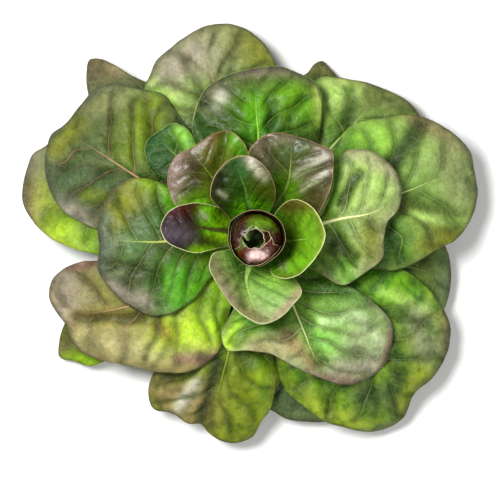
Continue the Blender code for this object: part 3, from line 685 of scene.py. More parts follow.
def leaf_piece(name, surface, thickness, facts, materials):
    """A leaf's mesh: its grid of points in triangles, with what its finish reads, given its thickness."""
    rows, columns = surface.shape[0] - 1, surface.shape[1] - 1
    number = np.arange((rows + 1) * (columns + 1)).reshape(rows + 1, columns + 1)
    a, b, c, d = number[:-1, :-1], number[:-1, 1:], number[1:, 1:], number[1:, :-1]
    faces = np.concatenate([np.stack([a, b, c], -1).reshape(-1, 3), np.stack([a, c, d], -1).reshape(-1, 3)])
    mesh = bpy.data.meshes.new(name)
    mesh.from_pydata((surface.reshape(-1, 3) * MM).tolist(), [], faces.tolist())
    t, s = lattice(columns, rows)
    unwrapped = mesh.uv_layers.new(name="leaf")
    corners = np.empty(len(mesh.loops), int)
    mesh.loops.foreach_get("vertex_index", corners)
    unwrapped.data.foreach_set("uv", np.stack([s, t], -1).reshape(-1, 2)[corners].ravel())
    for key, values in facts.items():
        add_field(mesh, key, values)
    mesh.shade_smooth()
    for material in materials:
        mesh.materials.append(material)
    piece = new_object(name, mesh)
    group = piece.vertex_groups.new(name="thickness")
    thickest = float(thickness.max())
    for index, value in enumerate(thickness.ravel() / thickest):
        group.add([index], float(value), "REPLACE")
    solid = piece.modifiers.new("Thickness", "SOLIDIFY")
    solid.thickness, solid.offset = thickest * MM, -1
    solid.vertex_group, solid.material_offset = "thickness", 1
    made_plain(piece)
    piece.vertex_groups.clear()
    return piece


def rib_lines(surface, thickness, veins):
    """The midrib and side veins along the underside of a blade: points and half widths of each."""
    rows, columns = thickness.shape[0] - 1, thickness.shape[1] - 1
    under = surface - normals_of(surface) * (thickness * RIB_DEPTH)[..., None]
    _, passed, _, from_margin = veins
    middle = columns // 2
    first, last = (int(share * rows) for share in MIDRIB_REACH)
    lines = [(under[first : last + 1, middle], np.linspace(*MIDRIB_GIRTH, last - first + 1))]
    for side in (range(middle, columns + 1, 2), range(middle, -1, -2)):
        for count in range(1, MOST_SIDE_VEINS + 1):
            points = []
            for column in side:
                run = np.maximum.accumulate(passed[:, column]) + np.arange(rows + 1) * 1e-9
                row = float(np.interp(count, run, np.arange(rows + 1)))
                lower = min(int(row), rows - 1)
                inside = SIDE_VEIN_REACH[0] * rows < row < SIDE_VEIN_REACH[1] * rows
                if not inside or from_margin[lower, column] < SIDE_VEIN_CLEARS_MARGIN:
                    break
                points.append(between(under[lower : lower + 2, column], row - lower))
            if len(points) > 3:
                lines.append((np.array(points), np.linspace(*SIDE_VEIN_GIRTH, len(points))))
    return lines


def rib_finish(name):
    """Pale, juicy rib: watery green flesh with fine lengthwise fibres and a faint red flush."""
    material, skin, place = new_finish(name)
    fibres, flush = place.noise(900, 4), place.noise(60, 2)
    colour = place.attribute("rib_tone", "Color")
    colour = colour.mixed((0.24, 0.36, 0.12, 1), fibres.ramp(0.35, 0.65) * 0.35)
    colour = colour.mixed((0.36, 0.17, 0.13, 1), flush.ramp(0.5, 0.72) * 0.3)
    colour.to(skin, "Base Color")
    fibres.ramp(0.3, 0.7, 0.38, 0.5).to(skin, "Roughness")
    fibres.bumped(0.5, 0.2 * MM).to(skin, "Normal")
    return material


def rib_tree():
    """Round ribs swept along the lines of a mesh, as thick as each point's girth says."""
    tree = bpy.data.node_groups.new("vein_ribs", "GeometryNodeTree")
    inputs = {"Lines": "Geometry", "Half width": "Float", "Sides": "Int", "Finish": "Material"}
    for name, kind in inputs.items():
        tree.interface.new_socket(name, in_out="INPUT", socket_type="NodeSocket" + kind)
    tree.interface.new_socket("Ribs", in_out="OUTPUT", socket_type="NodeSocketGeometry")
    given = tree.nodes.new("NodeGroupInput").outputs
    made = {}
    for key, kind in (
        ("line", "GeometryNodeMeshToCurve"), ("round", "GeometryNodeCurvePrimitiveCircle"),
        ("girth", "GeometryNodeInputNamedAttribute"), ("sweep", "GeometryNodeCurveToMesh"),
        ("smooth", "GeometryNodeSetShadeSmooth"), ("real", "GeometryNodeRealizeInstances"),
        ("finish", "GeometryNodeSetMaterial"), ("result", "NodeGroupOutput"),
    ):
        made[key] = tree.nodes.new(kind)
    made["girth"].data_type = "FLOAT"
    made["girth"].inputs["Name"].default_value = "girth"
    made["sweep"].inputs["Fill Caps"].default_value = True
    for start, node, socket in (
        (given["Lines"], "line", "Mesh"),
        (given["Half width"], "round", "Radius"),
        (given["Sides"], "round", "Resolution"),
        (made["line"].outputs["Curve"], "sweep", "Curve"),
        (made["round"].outputs["Curve"], "sweep", "Profile Curve"),
        (made["girth"].outputs["Attribute"], "sweep", "Scale"),
        (made["sweep"].outputs["Mesh"], "smooth", "Geometry"),
        (made["smooth"].outputs["Geometry"], "real", "Geometry"),
        (made["real"].outputs["Geometry"], "finish", "Geometry"),
        (given["Finish"], "finish", "Material"),
        (made["finish"].outputs["Geometry"], "result", "Ribs"),
    ):
        tree.links.new(start, made[node].inputs[socket])
    return tree


def add_ribs(name, finish):
    """The ribs of all leaves laid since the last call, in one piece under their blades."""
    points, edges, girths, tones = [], [], [], []
    for line, girth, colour in waiting_ribs:
        start = len(points)
        points += line.tolist()
        girths += girth.tolist()
        tones += [colour] * len(line)
        edges += [(k, k + 1) for k in range(start, len(points) - 1)]
    waiting_ribs.clear()
    mesh = bpy.data.meshes.new(name)
    mesh.from_pydata((np.array(points) * MM).tolist(), edges, [])
    mesh.attributes.new("girth", "FLOAT", "POINT").data.foreach_set("value", girths)
    add_field(mesh, "rib_tone", np.array(tones))
    piece = new_object(name, mesh)
    swept = piece.modifiers.new("Ribs", "NODES")
    swept.node_group = ribs_made
    for socket in ribs_made.interface.items_tree:
        if socket.name in RIB_INPUTS:
            swept[socket.identifier] = RIB_INPUTS[socket.name]
        if socket.name == "Finish":
            swept[socket.identifier] = finish
    made_plain(piece)
    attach(piece, "root")


coarse_laid = np.full((int(2 * PLAN_HALF / PLAN_CELL) + 1,) * 2, FLOOR_GAP)
fine_laid = coarse_laid.copy()
laid_so_far = 0
shaded_pieces = []
waiting_ribs, leaf_feet = [], []
ribs_made = rib_tree()


def add_leaf(leaf, materials):
    """One leaf of the rosette, laid over those below it, in place of its solid."""
    global laid_so_far
    seed = laid_so_far
    level = seed / (ROSETTE_LEAVES - 1)
    laid_so_far += 1
    small = math.hypot(*leaf["tip"]) < SMALL_LEAF_REACH
    columns, rows = SMALL_STEPS if small else LARGE_STEPS
    plan = plan_of(leaf, level, columns, rows)
    height = height_of(leaf, level, plan, random.Random(seed))
    lift = lift_needed(plan, height, blade_thickness(columns, rows), coarse_laid, GAP, COARSE_CUTS)
    for _ in range(LIFT_SPREADS):
        lift = np.maximum(lift, beside(lift))
    lay_down(plan, height + lift, coarse_laid, COARSE_CUTS)

    columns, rows = SMALL_FINE_STEPS if small else LARGE_FINE_STEPS
    plan = plan_of(leaf, level, columns, rows)
    height = height_of(leaf, level, plan, random.Random(seed))
    height = height + softened(finer(lift, rows, columns), LIFT_SOFTENED)
    veins = veins_of(leaf, plan, height, seed)
    height = height + blade_relief(leaf, plan, veins, seed)
    colours = blade_tones(leaf, plan, veins, seed)
    plan = ragged(plan, veins[3], seed) * INSET
    thickness = blade_thickness(columns, rows) * smooth_step(*MARGIN_THINS, veins[3])
    more = lift_needed(plan, height, thickness, fine_laid, FINE_GAP, FINE_CUTS)
    height = height + np.maximum(more, softened(more, MORE_SOFTENED))
    height = np.minimum(height, cad_box[1][2] / MM - TOP_GAP)
    lay_down(plan, height, fine_laid, LAID_CUTS)
    # Painted shade and light: the colour is darkened in the blade's dips and lightened on its crests.
    painted_relief_shading = np.tanh((softened(height, DIP_SPREAD) - height) / DIP_DEPTH)
    colours = colours * (1 - DIP_SHADE * painted_relief_shading)[..., None]
    t, _ = lattice(columns, rows)
    facts = {
        "veins": np.dstack(veins[:3]),
        "edge": np.dstack([veins[3], t, np.full(t.shape, leaf.get("mottle", USUAL_MOTTLE))]),
        "tone": colours,
        "vein_tone": tone(leaf["vein"]),
        "rim_tone": tone(leaf.get("edging", MAUVE)),
    }
    surface = np.dstack([plan, height])
    for line, girth in rib_lines(surface, thickness, veins):
        waiting_ribs.append((line, girth, tone(leaf["vein"])))
    leaf_feet.append(surface[0])
    piece = leaf_piece(leaf["name"] + "_blade", surface, thickness, facts, materials)
    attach(piece, "root")
    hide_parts(leaf["name"])
    shaded_pieces.append(piece)


outer_finish = [leaf_finish("outer_leaf", 0.5, 0), leaf_finish("outer_leaf_under", 0.55, 0, True)]
for leaf in OUTER_LEAVES:
    add_leaf(leaf, outer_finish)
add_ribs("outer_leaf_ribs", rib_finish("outer_rib"))

# Middle leaves: five shorter leaves of the ring above, half raised and arched over, greener than the
# outer ones, with painted light at their bright feet for the light that comes through them.
MIDDLE_LEAVES = [
    dict(name="middle_leaf_1", heading=130, tip=(-61, 60), wave=2, arch=3,
         margin=[(-25, 15), (-50, 28), (-64, 42), (-65, 55), (-58, 61), (-49, 66), (-40, 62),
                 (-36, 54), (-28, 40), (-15, 25)],
         folds=[((-36, 34), (-52, 62), 2.5, 3)],
         foot=DEEP, blade=(54, 86, 50), rim=TEAL, vein=PALE, edging=PALE,
         strokes=[(-44, 60, -38, 52, 5, (146, 186, 88)), (-34, 42, -28, 34, 5, LEAF)]),
    # On middle_leaf_2 the small palest grey stroke is painted sheen, and the short dark stroke in the
    # groove beside its midrib is painted shade.
    dict(name="middle_leaf_2", heading=90, tip=(-3, 98), wave=3, arch=9,
         margin=[(-22, 35), (-34, 48), (-38, 62), (-36, 74), (-32, 84), (-22, 92), (-11, 96), (4, 99),
                 (14, 99), (25, 95), (34, 90), (38, 80), (38, 71), (36, 58), (28, 40), (12, 22)],
         folds=[((6, 56), (9, 76), 2.8, 3.5), ((17, 62), (26, 80), 2.2, 3), ((-10, 60), (-30, 78), 2.2, 4)],
         foot=BRIGHT, blade=(74, 98, 40), rim=(106, 98, 80), vein=(150, 190, 80), edging=PALE,
         strokes=[(-32, 80, -24, 90, 7, (92, 88, 74)), (-24, 76, -20, 82, 3.5, PAINTED_SHEEN),
                  (-34, 66, -28, 56, 6, TEAL), (0, 62, -2, 76, 6, (106, 162, 44)),
                  (18, 82, 28, 74, 9, (98, 138, 40)), (36, 84, 37, 66, 2.5, (178, 192, 108)),
                  (-8, 96, 22, 97, 4, (112, 100, 94)), (7, 62, 9, 72, 3, DEEP)]),
    # On middle_leaf_3 the two thin pale arcs over its dome are painted highlights.
    dict(name="middle_leaf_3", heading=300, tip=(44, -85), wave=3, arch=8,
         margin=[(30, -14), (56, -30), (70, -40), (79, -51), (79, -63), (75, -75), (66, -83),
                 (51, -87), (37, -83), (21, -76), (8, -69), (-6, -67), (-19, -66), (-21, -56),
                 (-16, -46), (-8, -30)],
         folds=[((24, -40), (38, -72), 3.5, 4), ((34, -42), (66, -52), 2.5, 4),
                ((0, -46), (-12, -62), 2.5, 4), ((56, -60), (64, -78), 1.8, 5)],
         foot=LIME, blade=(112, 146, 68), rim=LAVENDER_AND_PAINTED_SHEEN, vein=CREAM,
         strokes=[(-16, -62, -10, -50, 6, LIME), (-2, -50, 6, -44, 6, (98, 152, 34)),
                  (0, -64, 22, -64, 6, (150, 138, 106)), (18, -58, 32, -74, 4, (122, 100, 74)),
                  (38, -50, 58, -46, 2.6, (170, 190, 142)), (60, -48, 72, -62, 2.6, (168, 180, 146)),
                  (36, -60, 46, -64, 6, (120, 168, 84)), (58, -62, 66, -70, 8, (140, 148, 118)),
                  (48, -78, 66, -76, 6, LAVENDER_AND_PAINTED_SHEEN), (30, -82, 60, -86, 3, MAUVE),
                  (74, -76, 79, -56, 3, MAUVE), (26, -24, 60, -34, 7, (68, 110, 26))]),
    # On middle_leaf_4 the thin lavender grey stroke low on its left is painted sheen.
    dict(name="middle_leaf_4", heading=198, tip=(-93, 0), wave=2.5, arch=9,
         margin=[(-22, -20), (-40, -40), (-59, -47), (-78, -39), (-85, -32), (-93, -19), (-92, -7),
                 (-93, 6), (-90, 18), (-84, 27), (-76, 33), (-66, 34), (-50, 29), (-30, 20)],
         folds=[((-56, -14), (-57, -38), 4, 4), ((-62, -20), (-88, -16), 2.5, 4),
                ((-60, 2), (-82, 20), 2.2, 5)],
         rib=(1.5, 2.4),
         foot=LIME, blade=(78, 92, 62), rim=(92, 86, 78), vein=(176, 178, 104),
         strokes=[(-46, -24, -44, -38, 9, (86, 148, 34)), (-34, -30, -30, -24, 5, BRIGHT),
                  (-82, 10, -70, 26, 8, OLIVE), (-90, -16, -88, 10, 4, SLATE),
                  (-84, -30, -66, -38, 4, LAVENDER_AND_PAINTED_SHEEN), (-74, -24, -64, -20, 5, (54, 62, 44)),
                  (-72, -4, -60, 8, 7, (84, 112, 74)), (-66, 32, -52, 26, 4, (124, 150, 44)),
                  (-50, 22, -44, 10, 5, (134, 184, 56))]),
    # On middle_leaf_5 the dark stroke in its upper crease and the dark patch in its hollow are painted
    # shade, and the tiny palest grey spot in that hollow is a painted highlight.
    dict(name="middle_leaf_5", heading=9, tip=(83, 24), wave=2.5, arch=7,
         margin=[(28, 30), (45, 44), (53, 50), (67, 49), (76, 43), (82, 35), (84, 27), (82, 15),
                 (76, 8), (74, 0), (73, -13), (62, -22), (50, -29), (36, -22), (18, -12)],
         folds=[((44, 14), (60, 36), 3.2, 3.5), ((38, 0), (56, -12), 4, 4.5), ((60, 8), (74, 4), 2, 4)],
         foot=LIME, blade=(132, 152, 90), rim=LAVENDER_AND_PAINTED_SHEEN, vein=CREAM, edging=BLUSH, rib=(1.2, 2.2),
         strokes=[(54, 48, 80, 36, 3.5, (150, 138, 122)), (60, 38, 72, 24, 8, (138, 160, 92)),
                  (42, 40, 42, 22, 4, (152, 188, 82)), (48, 18, 58, 34, 2.6, (60, 76, 42)),
                  (44, -4, 50, -10, 5, (70, 90, 56)), (47, -7, 49, -9, 1.8, PAINTED_SHEEN),
                  (66, 2, 66, -10, 7, (106, 112, 38)), (50, -18, 52, -26, 6, (98, 142, 36))]),
]
middle_finish = [leaf_finish("middle_leaf", 0.45, 0.04), leaf_finish("middle_leaf_under", 0.52, 0, True)]
for leaf in MIDDLE_LEAVES:
    add_leaf(leaf, middle_finish)
add_ribs("middle_leaf_ribs", rib_finish("middle_rib"))

# Inner leaves: six small cupped leaves round the heart, young, thick and glossy, wine red over green
# with a thin cream edge.
INNER_LEAVES = [
    dict(name="inner_leaf_1", heading=130, tip=(-40, 50), wave=2, arch=-2,
         margin=[(-30, 10), (-49, 20), (-52, 30), (-51, 40), (-45, 48), (-38, 51), (-31, 56),
                 (-23, 60), (-17, 61), (-10, 57), (-4, 46), (-3, 25)],
         folds=[((-26, 28), (-18, 60), 4, 3.5)],
         foot=LEAF, blade=(92, 96, 40), rim=TAUPE, vein=(130, 150, 70), edging=BLUSH,
         strokes=[(-49, 22, -46, 44, 6, (128, 110, 108)), (-38, 28, -36, 40, 5, (62, 48, 36)),
                  (-30, 56, -20, 60, 3, (98, 66, 38)), (-14, 56, -8, 46, 5, (88, 136, 36)),
                  (-40, 16, -32, 18, 5, (116, 166, 44))]),
    # On inner_leaf_2 the two thin palest grey strokes along its ridges are painted highlights.
    dict(name="inner_leaf_2", heading=60, tip=(20, 58), wave=2, arch=-1,
         margin=[(-2, 25), (-5, 40), (-5, 49), (1, 56), (12, 60), (21, 58), (36, 53), (43, 49),
                 (44, 38), (41, 23), (34, 11), (20, 4)],
         folds=[((14, 30), (6, 56), 3, 3.5), ((18, 32), (42, 42), 2.5, 2.6), ((24, 22), (42, 32), 2, 2.6)],
         foot=BRIGHT, blade=(76, 68, 50), rim=(116, 104, 90), vein=(140, 160, 84), edging=BLUSH,
         strokes=[(8, 56, 36, 51, 4, (120, 108, 96)), (10, 30, 18, 26, 6, (106, 146, 44)),
                  (22, 35, 40, 45, 1.8, PAINTED_SHEEN), (26, 27, 40, 36, 1.6, PAINTED_SHEEN),
                  (16, 48, 26, 50, 6, (62, 86, 40)), (0, 46, 8, 42, 4, (98, 90, 84))]),
    # On inner_leaf_3 the grey patch in the middle is painted sheen, and the tiny palest grey spot is a
    # painted highlight.
    dict(name="inner_leaf_3", heading=172, tip=(-56, 5), wave=1.5, arch=-4,
         margin=[(-20, -7), (-34, -10), (-44, -8), (-53, -3), (-56, 4), (-53, 12), (-46, 17),
                 (-32, 19), (-20, 16)],
         foot=LIME, blade=(58, 44, 44), rim=PLUM, vein=(84, 72, 58), edging=CREAM,
         strokes=[(-50, 2, -40, 0, 5, (92, 84, 92)), (-48, 14, -36, 17, 3.5, (82, 44, 36)),
                  (-28, 14, -26, 6, 4.5, (132, 182, 42)), (-32, 12, -30, 11, 1.6, PAINTED_SHEEN),
                  (-36, -10, -26, -10, 3, (140, 180, 44))]),
    dict(name="inner_leaf_4", heading=255, tip=(2, -51), wave=1.5, arch=1,
         margin=[(9, -14), (22, -25), (26, -32), (20, -41), (12, -48), (3, -51), (-8, -46),
                 (-16, -39), (-23, -29), (-28, -17), (-26, -10), (-18, -8)],
         folds=[((-10, -12), (-8, -38), 3.5, 3.5)],
         foot=LEAF, blade=(150, 174, 118), rim=TAUPE, vein=(164, 188, 112), edging=CREAM,
         strokes=[(-25, -14, -14, -38, 5, (130, 116, 104)), (-10, -14, -6, -22, 4.5, (52, 74, 24)),
                  (6, -32, 14, -40, 6, (144, 174, 116)), (12, -46, 24, -33, 2.5, (152, 132, 118)),
                  (-6, -44, 2, -48, 4, (116, 106, 78)), (6, -24, 16, -26, 3.5, (150, 180, 98))]),
    # On inner_leaf_5 the tiny palest grey spot low on its left is a painted highlight.
    dict(name="inner_leaf_5", heading=352, tip=(38, 0), wave=1.2, arch=-5,
         margin=[(12, 16), (20, 21), (28, 19), (36, 10), (39, 0), (36, -9), (31, -16), (23, -23),
                 (15, -25), (8, -22), (8, -12)],
         foot=BRIGHT, blade=(100, 138, 48), rim=(122, 118, 66), vein=(150, 180, 90), edging=CREAM,
         strokes=[(16, 18, 24, 16, 4.5, (108, 76, 58)), (22, 8, 24, 0, 5, (96, 112, 40)),
                  (28, 8, 32, -8, 4.5, (130, 168, 64)), (14, -16, 16, -18, 2, PAINTED_SHEEN),
                  (20, -18, 28, -14, 4, (132, 176, 60))]),
    # On inner_leaf_6 the pinkish white stroke and the tiny palest grey one are painted highlights.
    dict(name="inner_leaf_6", heading=112, tip=(-14, 44), wave=1.2, arch=-3,
         margin=[(-20, 14), (-27, 22), (-25, 33), (-21, 39), (-15, 44), (-6, 46), (2, 42), (8, 34),
                 (11, 24), (8, 14)],
         folds=[((-6, 16), (-13, 40), 2, 3), ((-16, 24), (-22, 34), 1.6, 3)],
         foot=BRIGHT, blade=(62, 90, 48), rim=(84, 84, 56), vein=(104, 140, 74), edging=BLUSH,
         strokes=[(-24, 24, -21, 34, 4, (48, 38, 40)), (-4, 42, 3, 33, 2.4, (214, 200, 192)),
                  (0, 30, 7, 24, 5, (88, 92, 38)), (-22, 25, -18, 22, 1.2, PAINTED_SHEEN),
                  (-12, 40, -8, 36, 4, (70, 104, 66))]),
]
inner_finish = [leaf_finish("inner_leaf", 0.33, 0.2), leaf_finish("inner_leaf_under", 0.42, 0.1, True)]
for leaf in INNER_LEAVES:
    add_leaf(leaf, inner_finish)
add_ribs("inner_leaf_ribs", rib_finish("inner_rib"))

# Heart: five small cups wrapped inside one another on the stem's growing point, dark wine red and
# very glossy, with thin cream edges. The outer two stand open as a ring, and the tips of the inner
# three curl in over one another and leave only a small mouth in the middle.
HEART_LEAVES = [
    dict(name="heart_leaf_1", heading=60, wrap=290, foot=40.5, belly=15.6, shoulder=70, crown=20,
         mouth=18.6, reach=0.88, lean=0, colour=(92, 56, 50),
         strokes=[(-14, -6, -16, 4, 4, (84, 108, 40)), (6, 12, -8, 13, 4, (112, 58, 50)),
                  (12, 4, 14, -6, 4, (84, 50, 40))]),
    # On heart_leaf_2 the pale pink stroke low on the ring is a painted highlight.
    dict(name="heart_leaf_2", heading=240, wrap=210, foot=43.0, belly=14.8, shoulder=70, crown=17,
         mouth=15.2, reach=0.88, lean=0, colour=(88, 66, 46),
         strokes=[(-12, -4, -10, -8, 4, (84, 104, 40)), (0, -13, 8, -12, 5, (170, 118, 118))]),
    dict(name="heart_leaf_3", heading=95, wrap=225, foot=45.5, belly=14.0, shoulder=77, crown=9,
         mouth=3.4, reach=1.0, lean=0, colour=(64, 40, 28),
         strokes=[(-3, 7, 6, 7, 3.5, (96, 128, 40)), (-9, 8, -7, 11, 4, (70, 36, 32))]),
    # On heart_leaf_4 the pinkish white stroke below the mouth is a painted highlight.
    dict(name="heart_leaf_4", heading=275, wrap=235, foot=48.0, belly=13.1, shoulder=76, crown=8,
         mouth=3.2, reach=1.0, lean=0.9, colour=(84, 46, 38),
         strokes=[(-3, -11, 4, -12, 2.6, (218, 186, 184)), (-10, -5, -8, 0, 3, (84, 108, 40))]),
    dict(name="heart_leaf_5", heading=10, wrap=280, foot=50.0, belly=10.4, shoulder=75, crown=7,
         mouth=2.2, reach=0.96, lean=0, colour=(70, 46, 38),
         strokes=[(-2, 2, 2, 3, 2, (120, 104, 88))]),
]
HEART_FINE_STEPS = (112, 60)
HEART_WALL_SHARE, HEART_WIDENING, HEART_WRAP = 0.62, 1.6, (-0.3, 0.5)
HEART_SIDE_DROP, HEART_OVAL, HEART_OVAL_HEADING, HEART_SHIFT = 0.12, 0.02, 35, (-0.9, -1.9)
HEART_LOBES, HEART_LOBED, HEART_LOBE_HEADING, HEART_WAVED, HEART_WAVE_SIZE = 3, 0.045, 132, 0.05, 5
HEART_GIRTH, HEART_LENGTH, HEART_RIM_DIPS, HEART_ROUGH, HEART_PUCKER = 9, 26, 0.04, 0.16, 0.5
HEART_FOOT_GAP, HEART_THICKNESS, HEART_MARGIN_THINS = 0.5, 0.45, (-1.5, 3)
HEART_EDGING, HEART_ROOM, HEART_MOTTLE, HEART_STROKES_LIE = (196, 184, 148), 5.0, 0.2, (0.95, 1)
STEM_OUTLINE = [(12.5, 0), (12.5, 5), (11.2, 14), (9.6, 26), (8.4, 35), (6.4, 41), (4.2, 46), (2.0, 51)]


def heart_cup(leaf, t, s, order):
    """A cup: a wall that widens from the stem up to its shoulder, then a crown that curls in."""
    across = 2 * s - 1
    wrapped = smooth_step(*HEART_WRAP, t)
    angle = np.radians(leaf["heading"] - across * leaf["wrap"] / 2 * wrapped)
    radii, heights = zip(*STEM_OUTLINE)
    foot = float(np.interp(leaf["foot"], heights, radii)) + HEART_FOOT_GAP + HEART_THICKNESS
    around = np.stack([angle * HEART_GIRTH, t * HEART_LENGTH], axis=-1)
    outline = t * leaf["reach"] * (1 - HEART_SIDE_DROP * across**2)
    dips = HEART_RIM_DIPS * (1 + field_noise(around, 4, order + 95))
    outline = outline - dips * smooth_step(0.7, 1, t)
    rise = np.clip(outline / HEART_WALL_SHARE, 0, 1)
    widen = np.sin(rise * math.pi / 2) ** HEART_WIDENING
    curl = np.clip((outline - HEART_WALL_SHARE) / (1 - HEART_WALL_SHARE), 0, 1) * math.pi / 2
    radius = foot + (leaf["belly"] - foot) * widen - (leaf["belly"] - leaf["mouth"]) * (1 - np.cos(curl))
    oval = np.cos(2 * (angle - math.radians(HEART_OVAL_HEADING)))
    lobe = np.cos(HEART_LOBES * (angle - math.radians(HEART_LOBE_HEADING)))
    circle = HEART_GIRTH * np.stack([np.cos(angle), np.sin(angle)], axis=-1)
    wave = field_noise(circle, HEART_WAVE_SIZE, 94)
    radius = radius * (1 + (HEART_OVAL * oval + HEART_LOBED * lobe + HEART_WAVED * wave) * widen)
    radius = radius + HEART_ROUGH * field_noise(around, 3, order + 90) * widen
    pucker = field_noise(around, 2.2, order + 97) + field_noise(around, 5, order + 98)
    height = leaf["foot"] + (leaf["shoulder"] - leaf["foot"]) * rise + leaf["crown"] * np.sin(curl)
    height = height - HEART_PUCKER * (1 + pucker) * np.sin(2 * curl)
    shift = on_circle(leaf["lean"], leaf["heading"]) + HEART_SHIFT
    x, y = radius * np.cos(angle) + shift[0] * rise, radius * np.sin(angle) + shift[1] * rise
    return np.stack([x, y, height], axis=-1)


heart_finish = [leaf_finish("heart_leaf", 0.2, 0.5), leaf_finish("heart_leaf_under", 0.22, 0.5)]
for order, leaf in enumerate(HEART_LEAVES):
    t, s = lattice(*HEART_FINE_STEPS)
    across = 2 * s - 1
    surface = heart_cup(leaf, t, s, order)
    run = np.linalg.norm(np.gradient(surface, axis=0), axis=-1).sum(axis=0) * (1 - t)
    span = np.linalg.norm(np.gradient(surface, axis=1), axis=-1).sum(axis=1, keepdims=True) / 2
    edge = np.minimum(run, (1 - np.abs(across)) * span)
    cloud = (field_noise(surface, 5, order + 99) + field_noise(surface, 1.8, order + 100))[..., None]
    foot, blade = tone(LEAF), tone(leaf["colour"])
    colour = foot + (blade - foot) * smooth_step(0.4, 0.8, t)[..., None]
    colour = stroked(colour, surface[..., :2], leaf["strokes"], *HEART_STROKES_LIE, cloud)
    facts = {
        "veins": np.dstack([across * span, 6 * t - 1.6 * np.abs(across), np.full(t.shape, HEART_ROOM)]),
        "edge": np.dstack([edge, t, np.full(t.shape, HEART_MOTTLE)]),
        "tone": colour,
        "vein_tone": tone(OLIVE),
        "rim_tone": tone(HEART_EDGING),
    }
    thickness = HEART_THICKNESS * smooth_step(*HEART_MARGIN_THINS, edge)
    piece = leaf_piece(leaf["name"] + "_cup", surface, thickness, facts, heart_finish)
    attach(piece, "root")
    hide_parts(leaf["name"])
    lay_down(surface[..., :2], surface[..., 2], fine_laid, 1)

# Stem: the short fleshy stub that every leaf grows from, cut flat with a knife. Its side is ridged
# where leaves have come away, and swells out to the foot of each leaf that it still bears. The cut
# shows pale pith, a greener ring of vessels with brown specks, and a thin skin that has browned.
STEM_AROUND, STEM_UP, CUT_RINGS = 180, 110, 16
STEM_INSET, CUT_EDGE, STEM_COLOUR = 0.25, 0.8, (0.6, 0.66, 0.38)
SCAR_DEPTH, SCAR_SPACING, FIBRES, FOOT_REACHES_IN = 0.5, 4.2, 0.15, 0.35
CUT_BEVEL, FIRST_RING, TOP_RING_BELOW, TOP_BELOW = 0.3, 0.12, 0.4, 0.2


def stem_radius(angle, z):
    """How far the side of the stem stands from its axis: scars, fibres, and a swelling for each leaf."""
    heights, radii = zip(*[(up, radius) for radius, up in STEM_OUTLINE])
    radius = np.interp(z, heights, radii) - STEM_INSET
    around = np.stack([9 * np.cos(angle), 9 * np.sin(angle) + 3 * z], axis=-1)
    scar = (z + 2.2 * field_noise(around, 12, 201)) / SCAR_SPACING + 1.5 * angle / math.pi
    radius = radius - SCAR_DEPTH * np.abs(np.sin(math.pi * scar)) ** 6
    radius = radius - FIBRES * field_noise(around, 2.5, 202)
    for foot in leaf_feet:
        heading = math.atan2(foot[:, 1].sum(), foot[:, 0].sum())
        turn = np.abs((angle - heading + math.pi) % (2 * math.pi) - math.pi)
        half = abs((math.atan2(foot[0, 1], foot[0, 0]) - heading + math.pi) % (2 * math.pi) - math.pi)
        level = z - foot[:, 2].mean() + BLADE_THICKNESS / 2
        reach = np.hypot(foot[:, 0], foot[:, 1]).mean() + FOOT_REACHES_IN
        swell = smooth_step(1.1 * half, 0.8 * half, turn) * np.exp(-((level / 1.3) ** 2))
        radius = np.maximum(radius, radius + (reach - radius) * swell)
    return radius


def stem_finish():
    """Pale green flesh on the cut and firmer ribbed skin round it, with browned scars and specks."""
    material, skin, place = new_finish("stem")
    x, y, up = (part / MM for part in place.parts())
    out = (x * x + y * y) ** 0.5
    grain, blots, fine = place.noise(420, 4), place.noise(90, 4), place.noise(1300, 3)
    cut = up.ramp(0.5, 0.1)
    own = place.attribute("rib_tone", "Color")
    flesh = own.mixed((0.5, 0.56, 0.3, 1), grain.ramp(0.35, 0.65) * 0.5)
    flesh = flesh.mixed((0.3, 0.2, 0.09, 1), blots.ramp(0.56, 0.72) * 0.45)
    face = own.mixed((0.72, 0.73, 0.5, 1), out.ramp(9, 6))
    vessels = out.ramp(6.4, 7.6) * out.ramp(10, 8.8)
    face = face.mixed((0.36, 0.46, 0.16, 1), vessels * 0.6)
    specks = place.cells(700).ramp(0.16, 0.05) * vessels
    face = face.mixed((0.28, 0.15, 0.06, 1), specks * 0.7)
    face = face.mixed((0.34, 0.2, 0.1, 1), (out + grain * 1.4).ramp(11.4, 12.6) * 0.8)
    face = face.mixed((0.45, 0.3, 0.16, 1), blots.ramp(0.5, 0.66) * 0.35)
    flesh.mixed(face, cut).to(skin, "Base Color")
    (cut.ramp(0, 1, 0.5, 0.3) + grain * 0.12).to(skin, "Roughness")
    (grain * 0.6 + fine * 0.25).bumped(0.6, 0.4 * MM).to(skin, "Normal")
    return material


angle = np.arange(STEM_AROUND) * 2 * math.pi / STEM_AROUND
cut_edge = stem_radius(angle, np.full(STEM_AROUND, CUT_EDGE))
rings = []
for share in np.linspace(0, 1, CUT_RINGS + 1)[1:]:
    rings.append((share * (cut_edge - CUT_BEVEL), np.zeros(STEM_AROUND)))
for z in np.linspace(FIRST_RING, STEM_OUTLINE[-1][1] - TOP_RING_BELOW, STEM_UP):
    side = stem_radius(angle, np.full(STEM_AROUND, z))
    side = np.minimum(side, cut_edge - CUT_BEVEL * smooth_step(CUT_EDGE, 0, z)) if z < CUT_EDGE else side
    rings.append((side, np.full(STEM_AROUND, z)))
points = [np.zeros((1, 3))]
points += [np.stack([r * np.cos(angle), r * np.sin(angle), z], axis=-1) for r, z in rings]
points.append(np.array([[0, 0, STEM_OUTLINE[-1][1] - TOP_BELOW]]))
points = np.concatenate(points)
top = len(points) - 1
faces = []
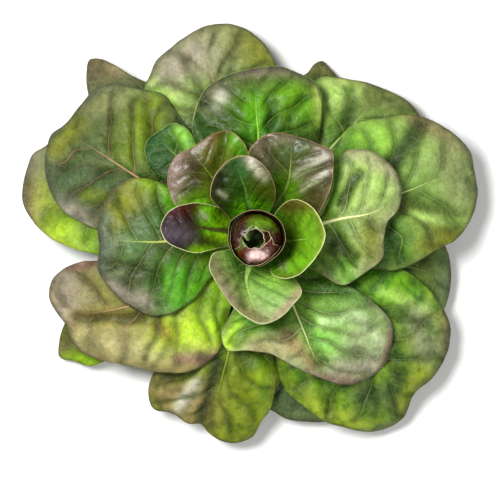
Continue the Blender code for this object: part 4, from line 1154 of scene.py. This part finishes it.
for k in range(STEM_AROUND):
    after = (k + 1) % STEM_AROUND
    faces.append((0, 1 + after, 1 + k))
    faces.append((top, top - STEM_AROUND + k, top - STEM_AROUND + after))
    for ring in range(len(rings) - 1):
        low, high = 1 + ring * STEM_AROUND, 1 + (ring + 1) * STEM_AROUND
        faces.append((low + k, low + after, high + after, high + k))
mesh = bpy.data.meshes.new("stem_flesh")
mesh.from_pydata((points * MM).tolist(), [], faces)
add_field(mesh, "rib_tone", np.array(STEM_COLOUR))
mesh.materials.append(stem_finish())
mesh.shade_smooth()
stem = new_object("stem_flesh", mesh)
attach(stem, "root")
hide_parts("stem")

# Shaded blade: where other leaves stand over a leaf it never reddens, so it stays deep green there,
# and painted shade darkens it where it lies in their shade, the inner leaves less so that their feet
# keep their painted glow. How much of the sky each point sees is read from the head's own plan.
SKY_DIRECTIONS, SKY_DISTANCES = 12, (2, 3.5, 6, 9, 13, 18, 25)
SHADE_FROM, SHADE_TO = 0.08, 0.62
SHADED_GREEN, SHADED_HEART_GREEN = np.array((0.36, 0.52, 0.22)), np.array((0.75, 0.9, 0.5))
for piece in shaded_pieces:
    points = np.empty(len(piece.data.vertices) * 3)
    piece.data.vertices.foreach_get("co", points)
    x, y, z = (points / MM).reshape(-1, 3).T
    hidden = 0
    for direction in np.arange(SKY_DIRECTIONS) * 2 * math.pi / SKY_DIRECTIONS:
        horizon = np.zeros(len(z))
        for far in SKY_DISTANCES:
            row, column = cell_of(y + far * math.sin(direction)), cell_of(x + far * math.cos(direction))
            row, column = (np.clip(k, 0, len(fine_laid) - 1) for k in (row, column))
            horizon = np.maximum(horizon, (fine_laid[row, column] - z) / far)
        hidden = hidden + horizon / np.hypot(1, horizon) / SKY_DIRECTIONS
    shade = smooth_step(SHADE_FROM, SHADE_TO, hidden)[:, None]
    colours = np.empty(len(z) * 4)
    tones = piece.data.attributes["tone"].data
    tones.foreach_get("color", colours)
    colours = colours.reshape(-1, 4)
    green = SHADED_HEART_GREEN if piece.name.startswith("inner") else SHADED_GREEN
    # Painted shade: the colour is darkened and turned greener where leaves above hide the sky.
    colours[:, :3] *= 1 + (green - 1) * shade
    tones.foreach_set("color", colours.ravel())
